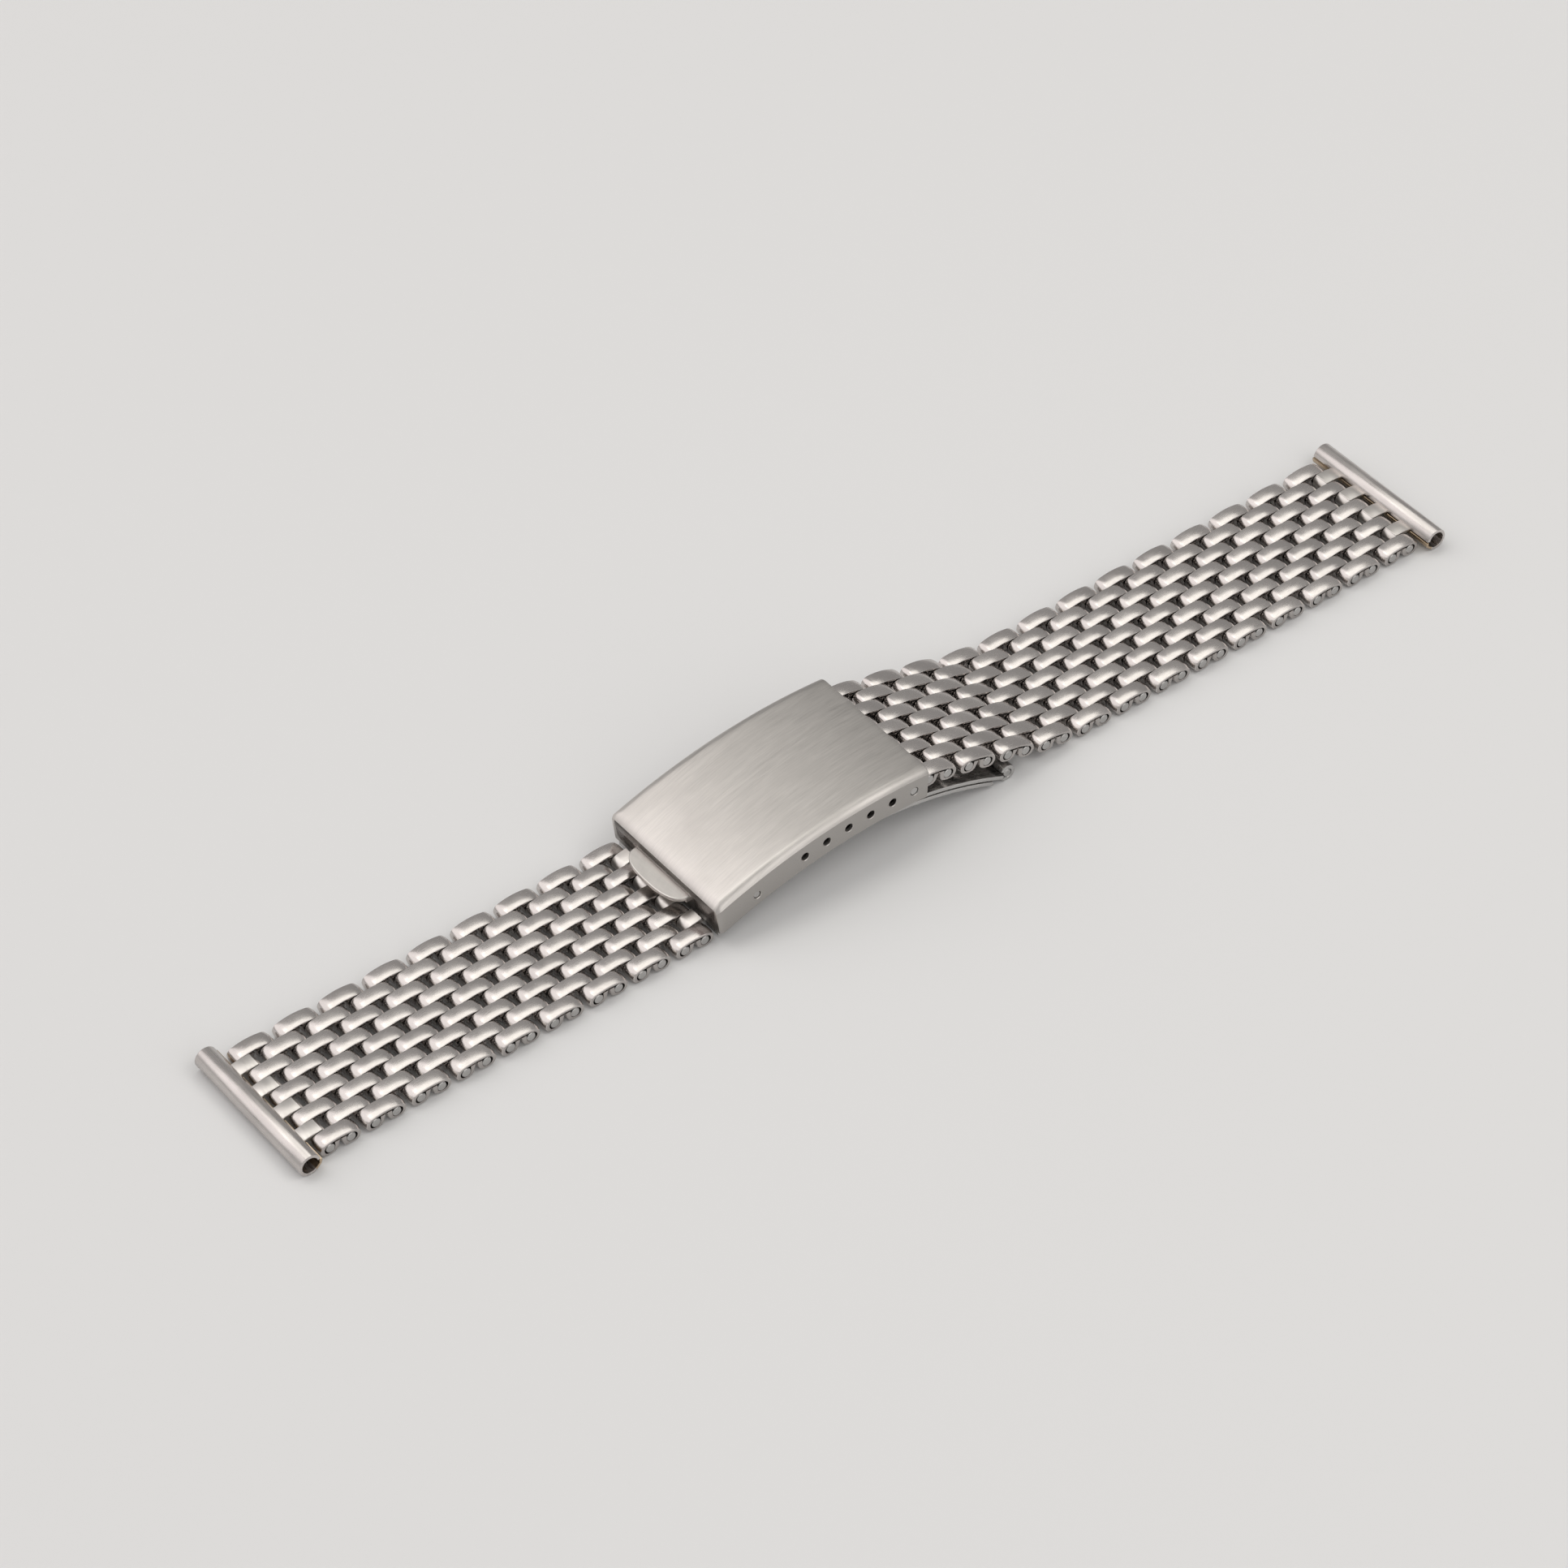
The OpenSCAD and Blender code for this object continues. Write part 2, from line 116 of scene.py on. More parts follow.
class LinkSizes(bpy.types.PropertyGroup):
    width: length("Width", "Width of one link along its pin", 1.72)
    gap: length("Column gap", "Gap between neighbouring columns of links", 0.065)
    wide_count: IntProperty(name="Links", description="Links in a wide row", default=5, min=3)
    size: length("Length", "Overall length of one link", 4.74)
    wide_span: length("Wide span", "Distance between the two pins of a wide row", 2.34)
    narrow_span: length("Narrow span", "Distance between the pins a narrow row turns on", 2.8)
    curl: length("Curl", "Outer radius of the curl round a pin", 0.86)
    strip: length("Strip", "Thickness of the strip a link is bent from", 0.34)
    crown: length("Crown", "Radius of the domed top", 7.0)
    slit: length("Slit", "Slit between the two tails", 0.2)
    tail: length("Tail", "Height of the tails above the pins", 0.5)
    pin: length("Pin", "Radius of the cross pins", 0.5)
    relief: length("Relief", "Relief outside each pin in a wide link", 0.16)
    rim: length("Rim", "Rounding of a link's side edges", 0.045)
    dome: length("Dome", "Radius of a link's top across its width", 3.0)
    bar_span: length("Bar span", "Distance from the spring bar to the first right pin", 2.45)
    bar: length("Bar", "Radius of the spring bar's barrel", 0.75)
    seed: IntProperty(name="Seed", description="Seed of the small differences", default=7)


class EndSizes(bpy.types.PropertyGroup):
    tube: length("Tube radius", "Outer radius of the rolled tube", 1.2)
    bore: length("Bore radius", "Radius of the tube's bore", 0.88)
    span: length("Tube length", "Length of the tube", 17.8)
    reach: length("Reach", "From the last pin to the tube's centre", 2.85)
    tongue: length("Tongue", "Thickness of the tongues", 0.34)


class CoverSizes(bpy.types.PropertyGroup):
    width: length("Width", "Outside width of the cover", 17.4)
    sheet: length("Sheet", "Thickness of the sheet", 0.45)
    arc: length("Arc", "Radius of the curve along the bracelet", 60.6)
    top: length("Crest", "Height of the crest", 8.2)
    crest: length("Crest place", "Crest, measured from the last left pin", 21.37)
    flange: length("Flange", "Depth of the side flanges", 3.5)
    edge: length("Edge", "Radius of the rounded long edges", 1.2)
    crease: FloatProperty(name="Crease", description="Degrees the long edges turn before the polished flange", default=56)
    bend: length("Bend", "Drop of the rolled edge above the front wall", 0.42)
    hole: length("Hole", "Radius of an adjusting hole", 0.46)
    hole_depth: length("Hole depth", "Depth of the holes under the top", 1.95)
    hole_pitch: length("Hole pitch", "Distance between adjusting holes", 2.7)


class BladeSizes(bpy.types.PropertyGroup):
    arc: length("Arc", "Radius of the upper blade's top", 42.0)
    crest: length("Crest place", "Crest, measured from the last left pin", 18.1)
    top: length("Crest", "Height of the upper blade's crest", 5.24)
    sheet: length("Sheet", "Thickness of each blade", 0.45)
    gap: length("Gap", "Gap between the folded blades", 0.15)
    width: length("Width", "Width of the blades", 16.2)
    roll: length("Roll", "Outer radius of the rolled knuckles", 0.92)
    knuckle: length("Knuckle", "Half width of the middle knuckle", 4.3)


class SteelLook(bpy.types.PropertyGroup):
    link: colour("Links", "Colour of the links", (0.60, 0.565, 0.545))
    cover: colour("Cover", "Colour of the brushed cover", (0.575, 0.549, 0.524))
    blade: colour("Blades", "Colour of the blades", (0.55, 0.54, 0.53))
    pin: colour("Pins", "Colour of the pins", (0.50, 0.49, 0.48))
    brass: colour("Lip", "Colour of the tinted lip of the end tubes", (0.52, 0.41, 0.29))
    # Painted shade: the front wall sits under the rolled edge, and this dark brownish colour stands in for its shade,
    # with a little oxide tint.
    wall: colour("Wall", "Colour of the cover's dull front wall", (0.33, 0.28, 0.27))
    satin: factor("Satin", "Roughness of the satin tops", 0.24)
    brush: factor("Brush", "Roughness of the brushed cover and tab", 0.42)
    polish: factor("Polish", "Roughness of the polished sides", 0.14)


class StageLook(bpy.types.PropertyGroup):
    floor: colour("Floor", "Colour of the floor", (0.75, 0.75, 0.75))
    dim: factor("Dim side", "Strength of the surroundings away from the light", 0.38)
    glow: factor("Bright side", "Strength of the surroundings around the light", 0.5)
    back: FloatProperty(name="Back", description="Power of the softbox behind", default=0.05, min=0)
    left: FloatProperty(name="Left", description="Power of the wide softbox at the left", default=3.4, min=0)
    over: FloatProperty(name="Over", description="Power of the long softbox overhead", default=2.45, min=0)
    top: FloatProperty(name="Top", description="Power of the softbox above the front", default=2.0, min=0)
    front: FloatProperty(name="Front", description="Power of the softbox in front", default=3.8, min=0)


# Outlines: lists of (across, up, share of the rim), counter-clockwise round the solid


def arc(cx, cz, r, start, end, steps, share=1.0):
    """Points on a circle from one angle to another, in degrees, both ends included."""
    out = []
    for i in range(steps + 1):
        a = math.radians(start + (end - start) * i / steps)
        out.append((cx + r * math.cos(a), cz + r * math.sin(a), share))
    return out


def mirrored(points):
    """The same points on the other side, so that the path still runs the same way round."""
    return [(-x, z, k) for x, z, k in reversed(points)]


def strip_side(s, span, bore, relief):
    """The right half of a link: its outside up to the crown, and its inside from the middle."""
    r = s.curl
    outer = s.size / 2 - r
    drop = math.sqrt((s.crown - r) ** 2 - outer**2)
    lean = math.degrees(math.asin(outer / (s.crown - r)))
    half = span / 2
    out = [(s.slit / 2, s.tail, 0.3)]
    out += arc(s.slit / 2 + r, 0, r, 180, 270, 3)
    out += arc(outer, 0, r, -90, 90 - lean, 7)
    out += arc(0, -drop, s.crown, 90 - lean, 90, 4)[1:]
    under = s.crown - s.strip
    inside = [
        (0, under - drop, 0.3),
        (half, math.sqrt(under**2 - half**2) - drop, 0.3),
    ]
    if relief:
        inside += [(half, bore, 0.3)] + arc(half + relief, 0, bore, 90, -90, 8, 0.3)
    else:
        inside += arc(half, 0, bore, 90, -90, 6, 0.3)[:-1]
    inside += arc(half, 0, bore, -90, -180, 3, 0.3) + [(half - bore, s.tail, 0.3)]
    return out, inside


def link_outline(s, span, bore, relief):
    """A bent strip: two curls under a domed top, with a slit and a gap between the tails."""
    out, inside = strip_side(s, span, bore, relief)
    return out + mirrored(out)[1:] + mirrored(inside)[:-1] + inside


def bar_link_outline(s, bore):
    """A link of the first row: its left curl goes round the spring bar."""
    out, inside = strip_side(s, s.narrow_span, s.pin + mm(0.04), 0)
    loop_x = s.narrow_span / 2 - s.bar_span
    curl_x = s.curl - s.size / 2
    loop = bore + s.strip * 0.75
    meet = (s.curl**2 - loop**2 + loop_x**2 - curl_x**2) / (2 * (loop_x - curl_x))
    low = -math.sqrt(s.curl**2 - (meet - curl_x) ** 2)
    drop = out[-1][1] - s.crown
    lean = math.degrees(math.asin(-curl_x / (s.crown - s.curl)))
    path = out + mirrored(out[-5:])[1:]
    path += arc(curl_x, 0, s.curl, 90 + lean, math.degrees(math.atan2(low, meet - curl_x)) % 360, 6)[1:]
    path += arc(
        loop_x, 0, loop, math.degrees(math.atan2(low, meet - loop_x)) % 360,
        360 + math.degrees(math.asin(s.tail / loop)), 8,
    )[1:]
    under = s.crown - s.strip
    roof = next(
        a / 10 for a in range(900)
        if bore * math.sin(math.radians(a / 10))
        > math.sqrt(under**2 - (loop_x + bore * math.cos(math.radians(a / 10))) ** 2) + drop
    )
    path += arc(loop_x, 0, bore, math.degrees(math.asin(s.tail / bore)), roof - 360, 14, 0.3)
    shift = (s.bar_span - s.narrow_span) / 2
    return [(x + shift, z, k) for x, z, k in path + inside]


def pin_outline(r, steps=16):
    return arc(0, 0, r, 0, 360, steps)[:-1]


def tube_outline(e):
    """The rolled sheet of an end tube, open towards the band; the last pin is at zero."""
    cz = e.tube - PIN_Z
    out = arc(e.reach, cz, e.tube, 233 - 360, 170, 30)
    return out + arc(e.reach, cz, e.bore, 170, 233 - 360, 22, 0.6)


def lip_outline(e):
    """The tinted inner sheet that stands between the tube and the last links."""
    cz = e.tube - PIN_Z
    dx, dz = math.cos(math.radians(237)), math.sin(math.radians(237))
    x = e.reach - e.tube - mm(0.13)
    t = mm(0.3)
    top = mm(0.44)
    return [
        (e.reach + e.tube * 0.99 * dx, cz + e.tube * 0.99 * dz, 0.3),
        (e.reach + e.bore * 1.02 * dx, cz + e.bore * 1.02 * dz, 0.3),
        (x + t, top - mm(0.45), 0.6),
        (x + t, top - mm(0.2), 0.6),
        (x + t, top, 1.0),
        (x, top, 1.0),
        (x, top - mm(0.25), 0.6),
        (x + mm(0.08), top - mm(0.55), 0.6),
    ]


def tongue_outline(curl, bore, thick, right, left=None, tilt=0):
    """A flat-topped tongue wrapped round its pin, which is at zero; it runs to the right.

    Its end is cut off at left, or else it stays round and its top leans by tilt degrees.
    """
    low = curl - thick
    hit = math.degrees(math.asin(min(1.0, low / bore)))
    if left is None:
        lean = math.radians(tilt)
        out = [(right, low, 0.5), (right, curl / math.cos(lean) + right * math.tan(lean), 1.0)]
        out += arc(0, 0, curl, 90 + tilt, 385, 20)
    else:
        turn = math.degrees(math.acos(max(-0.98, left / curl)))
        bow, start = mm(5.0), mm(0.4)
        out = [(right, low, 0.5)]
        for i in range(6):
            u = right + (start - right) * i / 5
            out.append((u, curl - bow + math.sqrt(bow**2 - (u - start) ** 2), 1.0))
        out += [(left + mm(0.05), curl, 1.0)]
        out += [(left, curl - mm(0.05), 1.0), (left, curl * math.sin(math.radians(turn)), 1.0)]
        out += arc(0, 0, curl, turn, 385, 18)[1:]
    out += arc(0, 0, bore, 25, hit - 360, 14, 0.2)
    return out


# Meshes


def rim_inset(outline):
    """For each point, the way in from the outline, as far as its share of the rim."""
    moves = []
    n = len(outline)
    for i in range(n):
        ax, az, _ = outline[i - 1]
        bx, bz, share = outline[i]
        cx, cz, _ = outline[(i + 1) % n]
        t1 = Vector((bx - ax, bz - az))
        t2 = Vector((cx - bx, cz - bz))
        t1 = t1.normalized() if t1.length > 1e-9 else t2.normalized()
        t2 = t2.normalized() if t2.length > 1e-9 else t1
        normal = Vector((-(t1.y + t2.y), t1.x + t2.x))
        if normal.length < 1e-6:
            normal = Vector((-t1.y, t1.x))
        normal.normalize()
        stretch = 1 / max(0.6, normal.dot(Vector((-t1.y, t1.x))))
        moves.append(normal * stretch * share)
    return moves


def add_solid(bm, outline, low, high, place, rim=0.0, steps=3, marks=None, dome=0.0):
    """Adds a closed solid with this outline from low to high, its end edges rounded.

    place turns (across, up, depth) into a point. With a dome radius the outside also falls
    away from its middle to both ends. The flat ends are marked in the layer "flat_side",
    and other layers take the values in marks.
    """
    clean = [p for i, p in enumerate(outline) if math.dist(p[:2], outline[i - 1][:2]) > 1e-7]
    moves = rim_inset(clean)
    levels = []
    for i in range(steps + 1 if rim else 1):
        a = math.radians(90 * i / steps)
        levels.append((rim * (1 - math.sin(a)), rim * (1 - math.cos(a))))
    half = (high - low) / 2
    if dome:
        levels.append((0.0, half * 0.52))
    levels = [(inset, (half - depth) ** 2 / (2 * dome) if dome else 0.0, depth) for inset, depth in levels]
    rings = [(inset, fall, low + depth) for inset, fall, depth in levels]
    rings += [(inset, fall, high - depth) for inset, fall, depth in reversed(levels)]
    flat = bm.faces.layers.float.get("flat_side") or bm.faces.layers.float.new("flat_side")
    layers = {}
    for name in marks or {}:
        layers[name] = bm.faces.layers.float.get(name) or bm.faces.layers.float.new(name)
    loops = []
    for inset, fall, depth in rings:
        ring = []
        for (x, z, share), move in zip(clean, moves):
            way = inset + (fall if share == 1 else 0)
            ring.append(bm.verts.new(place(x + move.x * way, z + move.y * way, depth)))
        loops.append(ring)
    faces = [bm.faces.new(list(reversed(loops[0]))), bm.faces.new(loops[-1])]
    for f in faces:
        f[flat] = 1.0
    n = len(clean)
    for a, b in zip(loops, loops[1:]):
        for i in range(n):
            j = (i + 1) % n
            faces.append(bm.faces.new((a[i], a[j], b[j], b[i])))
    for name, layer in layers.items():
        for f in faces:
            f[layer] = marks[name]
    return faces


def along_y(dx=0.0, dz=0.0):
    """Places an outline as a side profile, its depth running across the bracelet."""
    return lambda x, z, depth: (x + dx, depth, z + dz)


def to_object(bm, name, material, sharp=34):
    """Turns the mesh into an object with outward normals and smooth curved faces."""
    bmesh.ops.recalc_face_normals(bm, faces=bm.faces[:])
    mesh = bpy.data.meshes.new(name)
    bm.to_mesh(mesh)
    bm.free()
    return mesh_object(mesh, name, material, sharp)


def mesh_object(mesh, name, material, sharp=34):
    if material:
        mesh.materials.clear()
        mesh.materials.append(material)
    for polygon in mesh.polygons:
        polygon.use_smooth = True
    mesh.set_sharp_from_angle(angle=math.radians(sharp))
    crisp = {key for f in mesh.polygons if f.loop_total > 6 for key in f.edge_keys}
    sharp_edges = mesh.attributes.get("sharp_edge") or mesh.attributes.new("sharp_edge", "BOOLEAN", "EDGE")
    for edge in mesh.edges:
        if edge.key in crisp:
            sharp_edges.data[edge.index].value = True
    made = bpy.data.objects.new(name, mesh)
    bpy.context.scene.collection.objects.link(made)
    return made


def dressed(obj, body, slot, *nodes):
    """Lets a finished piece ride on its body in place of the plain solids it stands for."""
    if obj is None or not obj.data.polygons:
        raise RuntimeError(f"nothing was made for {nodes}")
    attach(obj, body)
    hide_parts(*nodes)
    return obj


# Materials


def new_material(name):
    material = bpy.data.materials.new(name)
    material.use_nodes = True
    nodes = material.node_tree.nodes
    nodes.clear()
    out = nodes.new("ShaderNodeOutputMaterial")
    shader = nodes.new("ShaderNodeBsdfPrincipled")
    material.node_tree.links.new(shader.outputs[0], out.inputs[0])
    shader.inputs["Metallic"].default_value = 1.0
    return material, shader


class Nodes:
    """Short ways to add and join the nodes of one material."""

    def __init__(self, material):
        self.tree = material.node_tree

    def add(self, kind, **settings):
        node = self.tree.nodes.new(kind)
        for name, value in settings.items():
            setattr(node, name, value)
        return node

    def join(self, source, target):
        self.tree.links.new(source, target)

    def noise(self, stretch, scale, detail=3.0, rough=0.5, turn=(0, 0, 0)):
        """Noise on object coordinates, its spots longer along an axis with a small stretch."""
        place = self.add("ShaderNodeTexCoord")
        mapping = self.add("ShaderNodeMapping", vector_type="TEXTURE")
        mapping.inputs["Rotation"].default_value = turn
        mapping.inputs["Scale"].default_value = [1 / v for v in stretch]
        self.join(place.outputs["Object"], mapping.inputs["Vector"])
        noise = self.add("ShaderNodeTexNoise")
        noise.inputs["Scale"].default_value = scale
        noise.inputs["Detail"].default_value = detail
        noise.inputs["Roughness"].default_value = rough
        self.join(mapping.outputs[0], noise.inputs["Vector"])
        return noise.outputs["Fac"]

    def spread(self, source, low, high, to_low, to_high):
        """Maps one range of values to another, held at its ends."""
        node = self.add("ShaderNodeMapRange")
        for name, value in zip(
            ("From Min", "From Max", "To Min", "To Max"), (low, high, to_low, to_high)
        ):
            node.inputs[name].default_value = value
        self.join(source, node.inputs["Value"])
        return node.outputs[0]

    def maths(self, operation, a, b=None):
        node = self.add("ShaderNodeMath", operation=operation)
        for socket, value in zip(node.inputs, (a, b)):
            if value is None:
                continue
            if isinstance(value, (int, float)):
                socket.default_value = value
            else:
                self.join(value, socket)
        return node.outputs[0]

    def blend(self, share, a, b):
        node = self.add("ShaderNodeMix", data_type="RGBA")
        for socket, value in ((node.inputs[0], share), (node.inputs[6], a), (node.inputs[7], b)):
            if isinstance(value, (int, float)):
                socket.default_value = value
            elif isinstance(value, tuple):
                socket.default_value = value
            else:
                self.join(value, socket)
        return node.outputs[2]

    def mark(self, name):
        return self.add("ShaderNodeAttribute", attribute_name=name).outputs["Fac"]

    def bump(self, height, shader, strength, distance):
        node = self.add("ShaderNodeBump")
        node.inputs["Strength"].default_value = strength
        node.inputs["Distance"].default_value = distance
        self.join(height, node.inputs["Height"])
        self.join(node.outputs[0], shader.inputs["Normal"])


def rgba(c, share=1.0):
    return tuple(v * share for v in c) + (1.0,)


def satin_steel(look):
    """Satin tops and polished sides, slightly different from link to link."""
    material, shader = new_material("satin_link_steel")
    n = Nodes(material)
    cloud = n.noise((1, 1, 1), 420, 3)
    grain = n.noise((0.35, 1.6, 1.6), 5200, 4, 0.6)
    side = n.mark("flat_side")
    tone = n.mark("link_tone")
    shade = n.spread(n.maths("ADD", n.maths("MULTIPLY", cloud, 0.6), n.maths("MULTIPLY", tone, 0.4)), 0.2, 0.8, 0, 1)
    base = n.blend(shade, rgba(look.link, 0.9), rgba(look.link, 1.06))
    n.join(n.blend(side, base, rgba(look.link, 0.78)), shader.inputs["Base Color"])
    satin = n.maths("ADD", n.spread(grain, 0.3, 0.7, look.satin - 0.05, look.satin + 0.06),
                    n.maths("MULTIPLY", n.maths("SUBTRACT", tone, 0.5), 0.05))
    polish = n.spread(cloud, 0.3, 0.7, look.polish - 0.03, look.polish + 0.05)
    rough = n.add("ShaderNodeMix", data_type="FLOAT")
    n.join(side, rough.inputs[0])
    n.join(satin, rough.inputs[2])
    n.join(polish, rough.inputs[3])
    n.join(rough.outputs[0], shader.inputs["Roughness"])
    n.bump(grain, shader, 0.07, mm(0.01))
    return material


def brushed_cover(look):
    """Fine hairlines along the bracelet, faint blotches, and polished flanges, with painted light and shade: the top
    lighter at the left end and darker at the right, and the front wall painted dark as shade.
    """
    material, shader = new_material("brushed_cover_steel")
    n = Nodes(material)
    lines = n.noise((0.05, 1.0, 0.1), 7500, 2, 0.6, (0, 0, 0.09))
    broad = n.noise((0.06, 1.0, 0.1), 2200, 3, 0.6, (0, 0, 0.06))
    blotch = n.noise((1.0, 1.3, 1.0), 150, 4, 0.55)
    ripple = n.noise((0.8, 1.0, 1.0), 900, 3)
    side = n.mark("flat_side")
    wall = n.mark("front")
    smooth = n.maths("MAXIMUM", side, wall)
    streak = n.maths("ADD", n.maths("MULTIPLY", lines, 0.6), n.maths("MULTIPLY", broad, 0.4))
    tint = n.blend(n.spread(streak, 0.34, 0.66, 0, 1), rgba(look.cover, 0.89), rgba(look.cover, 1.08))
    worn = n.blend(n.spread(blotch, 0.46, 0.72, 0, 0.35), tint, rgba(look.cover, 0.84))
    # Painted light and shade: the top's colour is scaled from 1.12 at the left end down to 0.78 at the right end, the
    # way the light falls off along the cover.
    place = n.add("ShaderNodeSeparateXYZ")
    n.join(n.add("ShaderNodeTexCoord").outputs["Object"], place.inputs[0])
    painted_shading = n.add("ShaderNodeVectorMath", operation="SCALE")
    n.join(worn, painted_shading.inputs[0])
    n.join(n.spread(place.outputs["X"], along(1), along(27), 1.12, 0.78), painted_shading.inputs["Scale"])
    bright = n.blend(side, painted_shading.outputs[0], rgba(look.cover, 0.74))
    # Painted shade: the front wall, marked "front", takes the dark wall colour in place of the steel's.
    n.join(n.blend(wall, bright, rgba(look.wall)), shader.inputs["Base Color"])
    satin = n.maths("ADD", n.spread(streak, 0.3, 0.7, look.brush - 0.08, look.brush + 0.08),
                    n.spread(blotch, 0.4, 0.7, -0.03, 0.05))
    polish = n.spread(ripple, 0.3, 0.7, look.polish - 0.04, look.polish + 0.03)
    rough = n.add("ShaderNodeMix", data_type="FLOAT")
    n.join(smooth, rough.inputs[0])
    n.join(satin, rough.inputs[2])
    n.join(polish, rough.inputs[3])
    n.join(rough.outputs[0], shader.inputs["Roughness"])
    height = n.add("ShaderNodeMix", data_type="FLOAT")
    n.join(smooth, height.inputs[0])
    n.join(streak, height.inputs[2])
    n.join(ripple, height.inputs[3])
    n.bump(height.outputs[0], shader, 0.25, mm(0.012))
    return material


def drawn_tube(look):
    """Satin sheet with streaks across the bracelet, tinted where it is marked as the lip, and painted light on the
    tongues: a lighter colour where they are marked.
    """
    material, shader = new_material("drawn_tube_steel")
    n = Nodes(material)
    lines = n.noise((1.0, 0.06, 1.0), 3600, 3, 0.6)
    cloud = n.noise((1, 1, 1), 300, 3)
    lip = n.mark("lip")
    tongue = n.mark("tongue")
    tint = n.blend(n.spread(cloud, 0.3, 0.7, 0, 1), rgba(look.link, 0.9), rgba(look.link, 1.04))
    # Painted light: the tongues' flat tops take a colour lighter than the steel's, so that they look lit.
    flat = n.blend(tongue, tint, rgba(look.cover, 1.15))
    n.join(n.blend(lip, flat, rgba(look.brass)), shader.inputs["Base Color"])
    rough = n.maths("ADD", n.spread(lines, 0.3, 0.7, look.satin - 0.02, look.satin + 0.12), n.maths("MULTIPLY", tongue, 0.08))
    n.join(rough, shader.inputs["Roughness"])
    n.bump(lines, shader, 0.3, mm(0.012))
    return material


def blade_steel(look, name="blade_steel", tint=None):
    """Plain rolled sheet with faint lines along the bracelet, and painted light on the tongues: a lighter colour
    where they are marked.
    """
    material, shader = new_material(name)
    n = Nodes(material)
    lines = n.noise((0.05, 1.0, 0.2), 4200, 3, 0.6)
    cloud = n.noise((1, 1, 1), 260, 3)
    c = tint or look.blade
    tongue = n.mark("tongue")
    base = n.blend(n.spread(cloud, 0.3, 0.7, 0, 1), rgba(c, 0.9), rgba(c, 1.05))
    # Painted light: where the tongues are marked, the colour is far lighter than the blade's, so that their tops look
    # lit.
    n.join(n.blend(tongue, base, rgba(look.cover, 1.3)), shader.inputs["Base Color"])
    rough = n.maths("ADD", n.spread(lines, 0.3, 0.7, 0.2, 0.34), n.maths("MULTIPLY", tongue, 0.14))
    n.join(rough, shader.inputs["Roughness"])
    n.bump(lines, shader, 0.2, mm(0.01))
    return material


def tab_steel(look):
    """Flat satin steel of the finger tab, with fine crossed scratches."""
    material, shader = new_material("tab_steel")
    n = Nodes(material)
    lines = n.noise((1.0, 0.12, 1.0), 3800, 3, 0.6)
    cross = n.noise((0.2, 1.0, 1.0), 2600, 2, 0.6, (0, 0, 0.6))
    both = n.maths("ADD", n.maths("MULTIPLY", lines, 0.6), n.maths("MULTIPLY", cross, 0.4))
    base = n.blend(n.spread(both, 0.3, 0.7, 0, 1), rgba(look.cover, 1.12), rgba(look.cover, 1.26))
    n.join(base, shader.inputs["Base Color"])
    n.join(n.spread(both, 0.3, 0.7, look.brush - 0.06, look.brush + 0.04), shader.inputs["Roughness"])
    n.bump(both, shader, 0.2, mm(0.01))
    return material


# Rows of links, made with Geometry Nodes

SOCKETS = {
    "Link": "NodeSocketObject",
    "Links": "NodeSocketInt",
    "Column step": "NodeSocketFloat",
    "Pin": "NodeSocketObject",
    "Pins": "NodeSocketInt",
    "Pin span": "NodeSocketFloat",
    "Centre": "NodeSocketVector",
    "Tilt": "NodeSocketFloat",
    "Seed": "NodeSocketInt",
    "Link steel": "NodeSocketMaterial",
    "Pin steel": "NodeSocketMaterial",
}


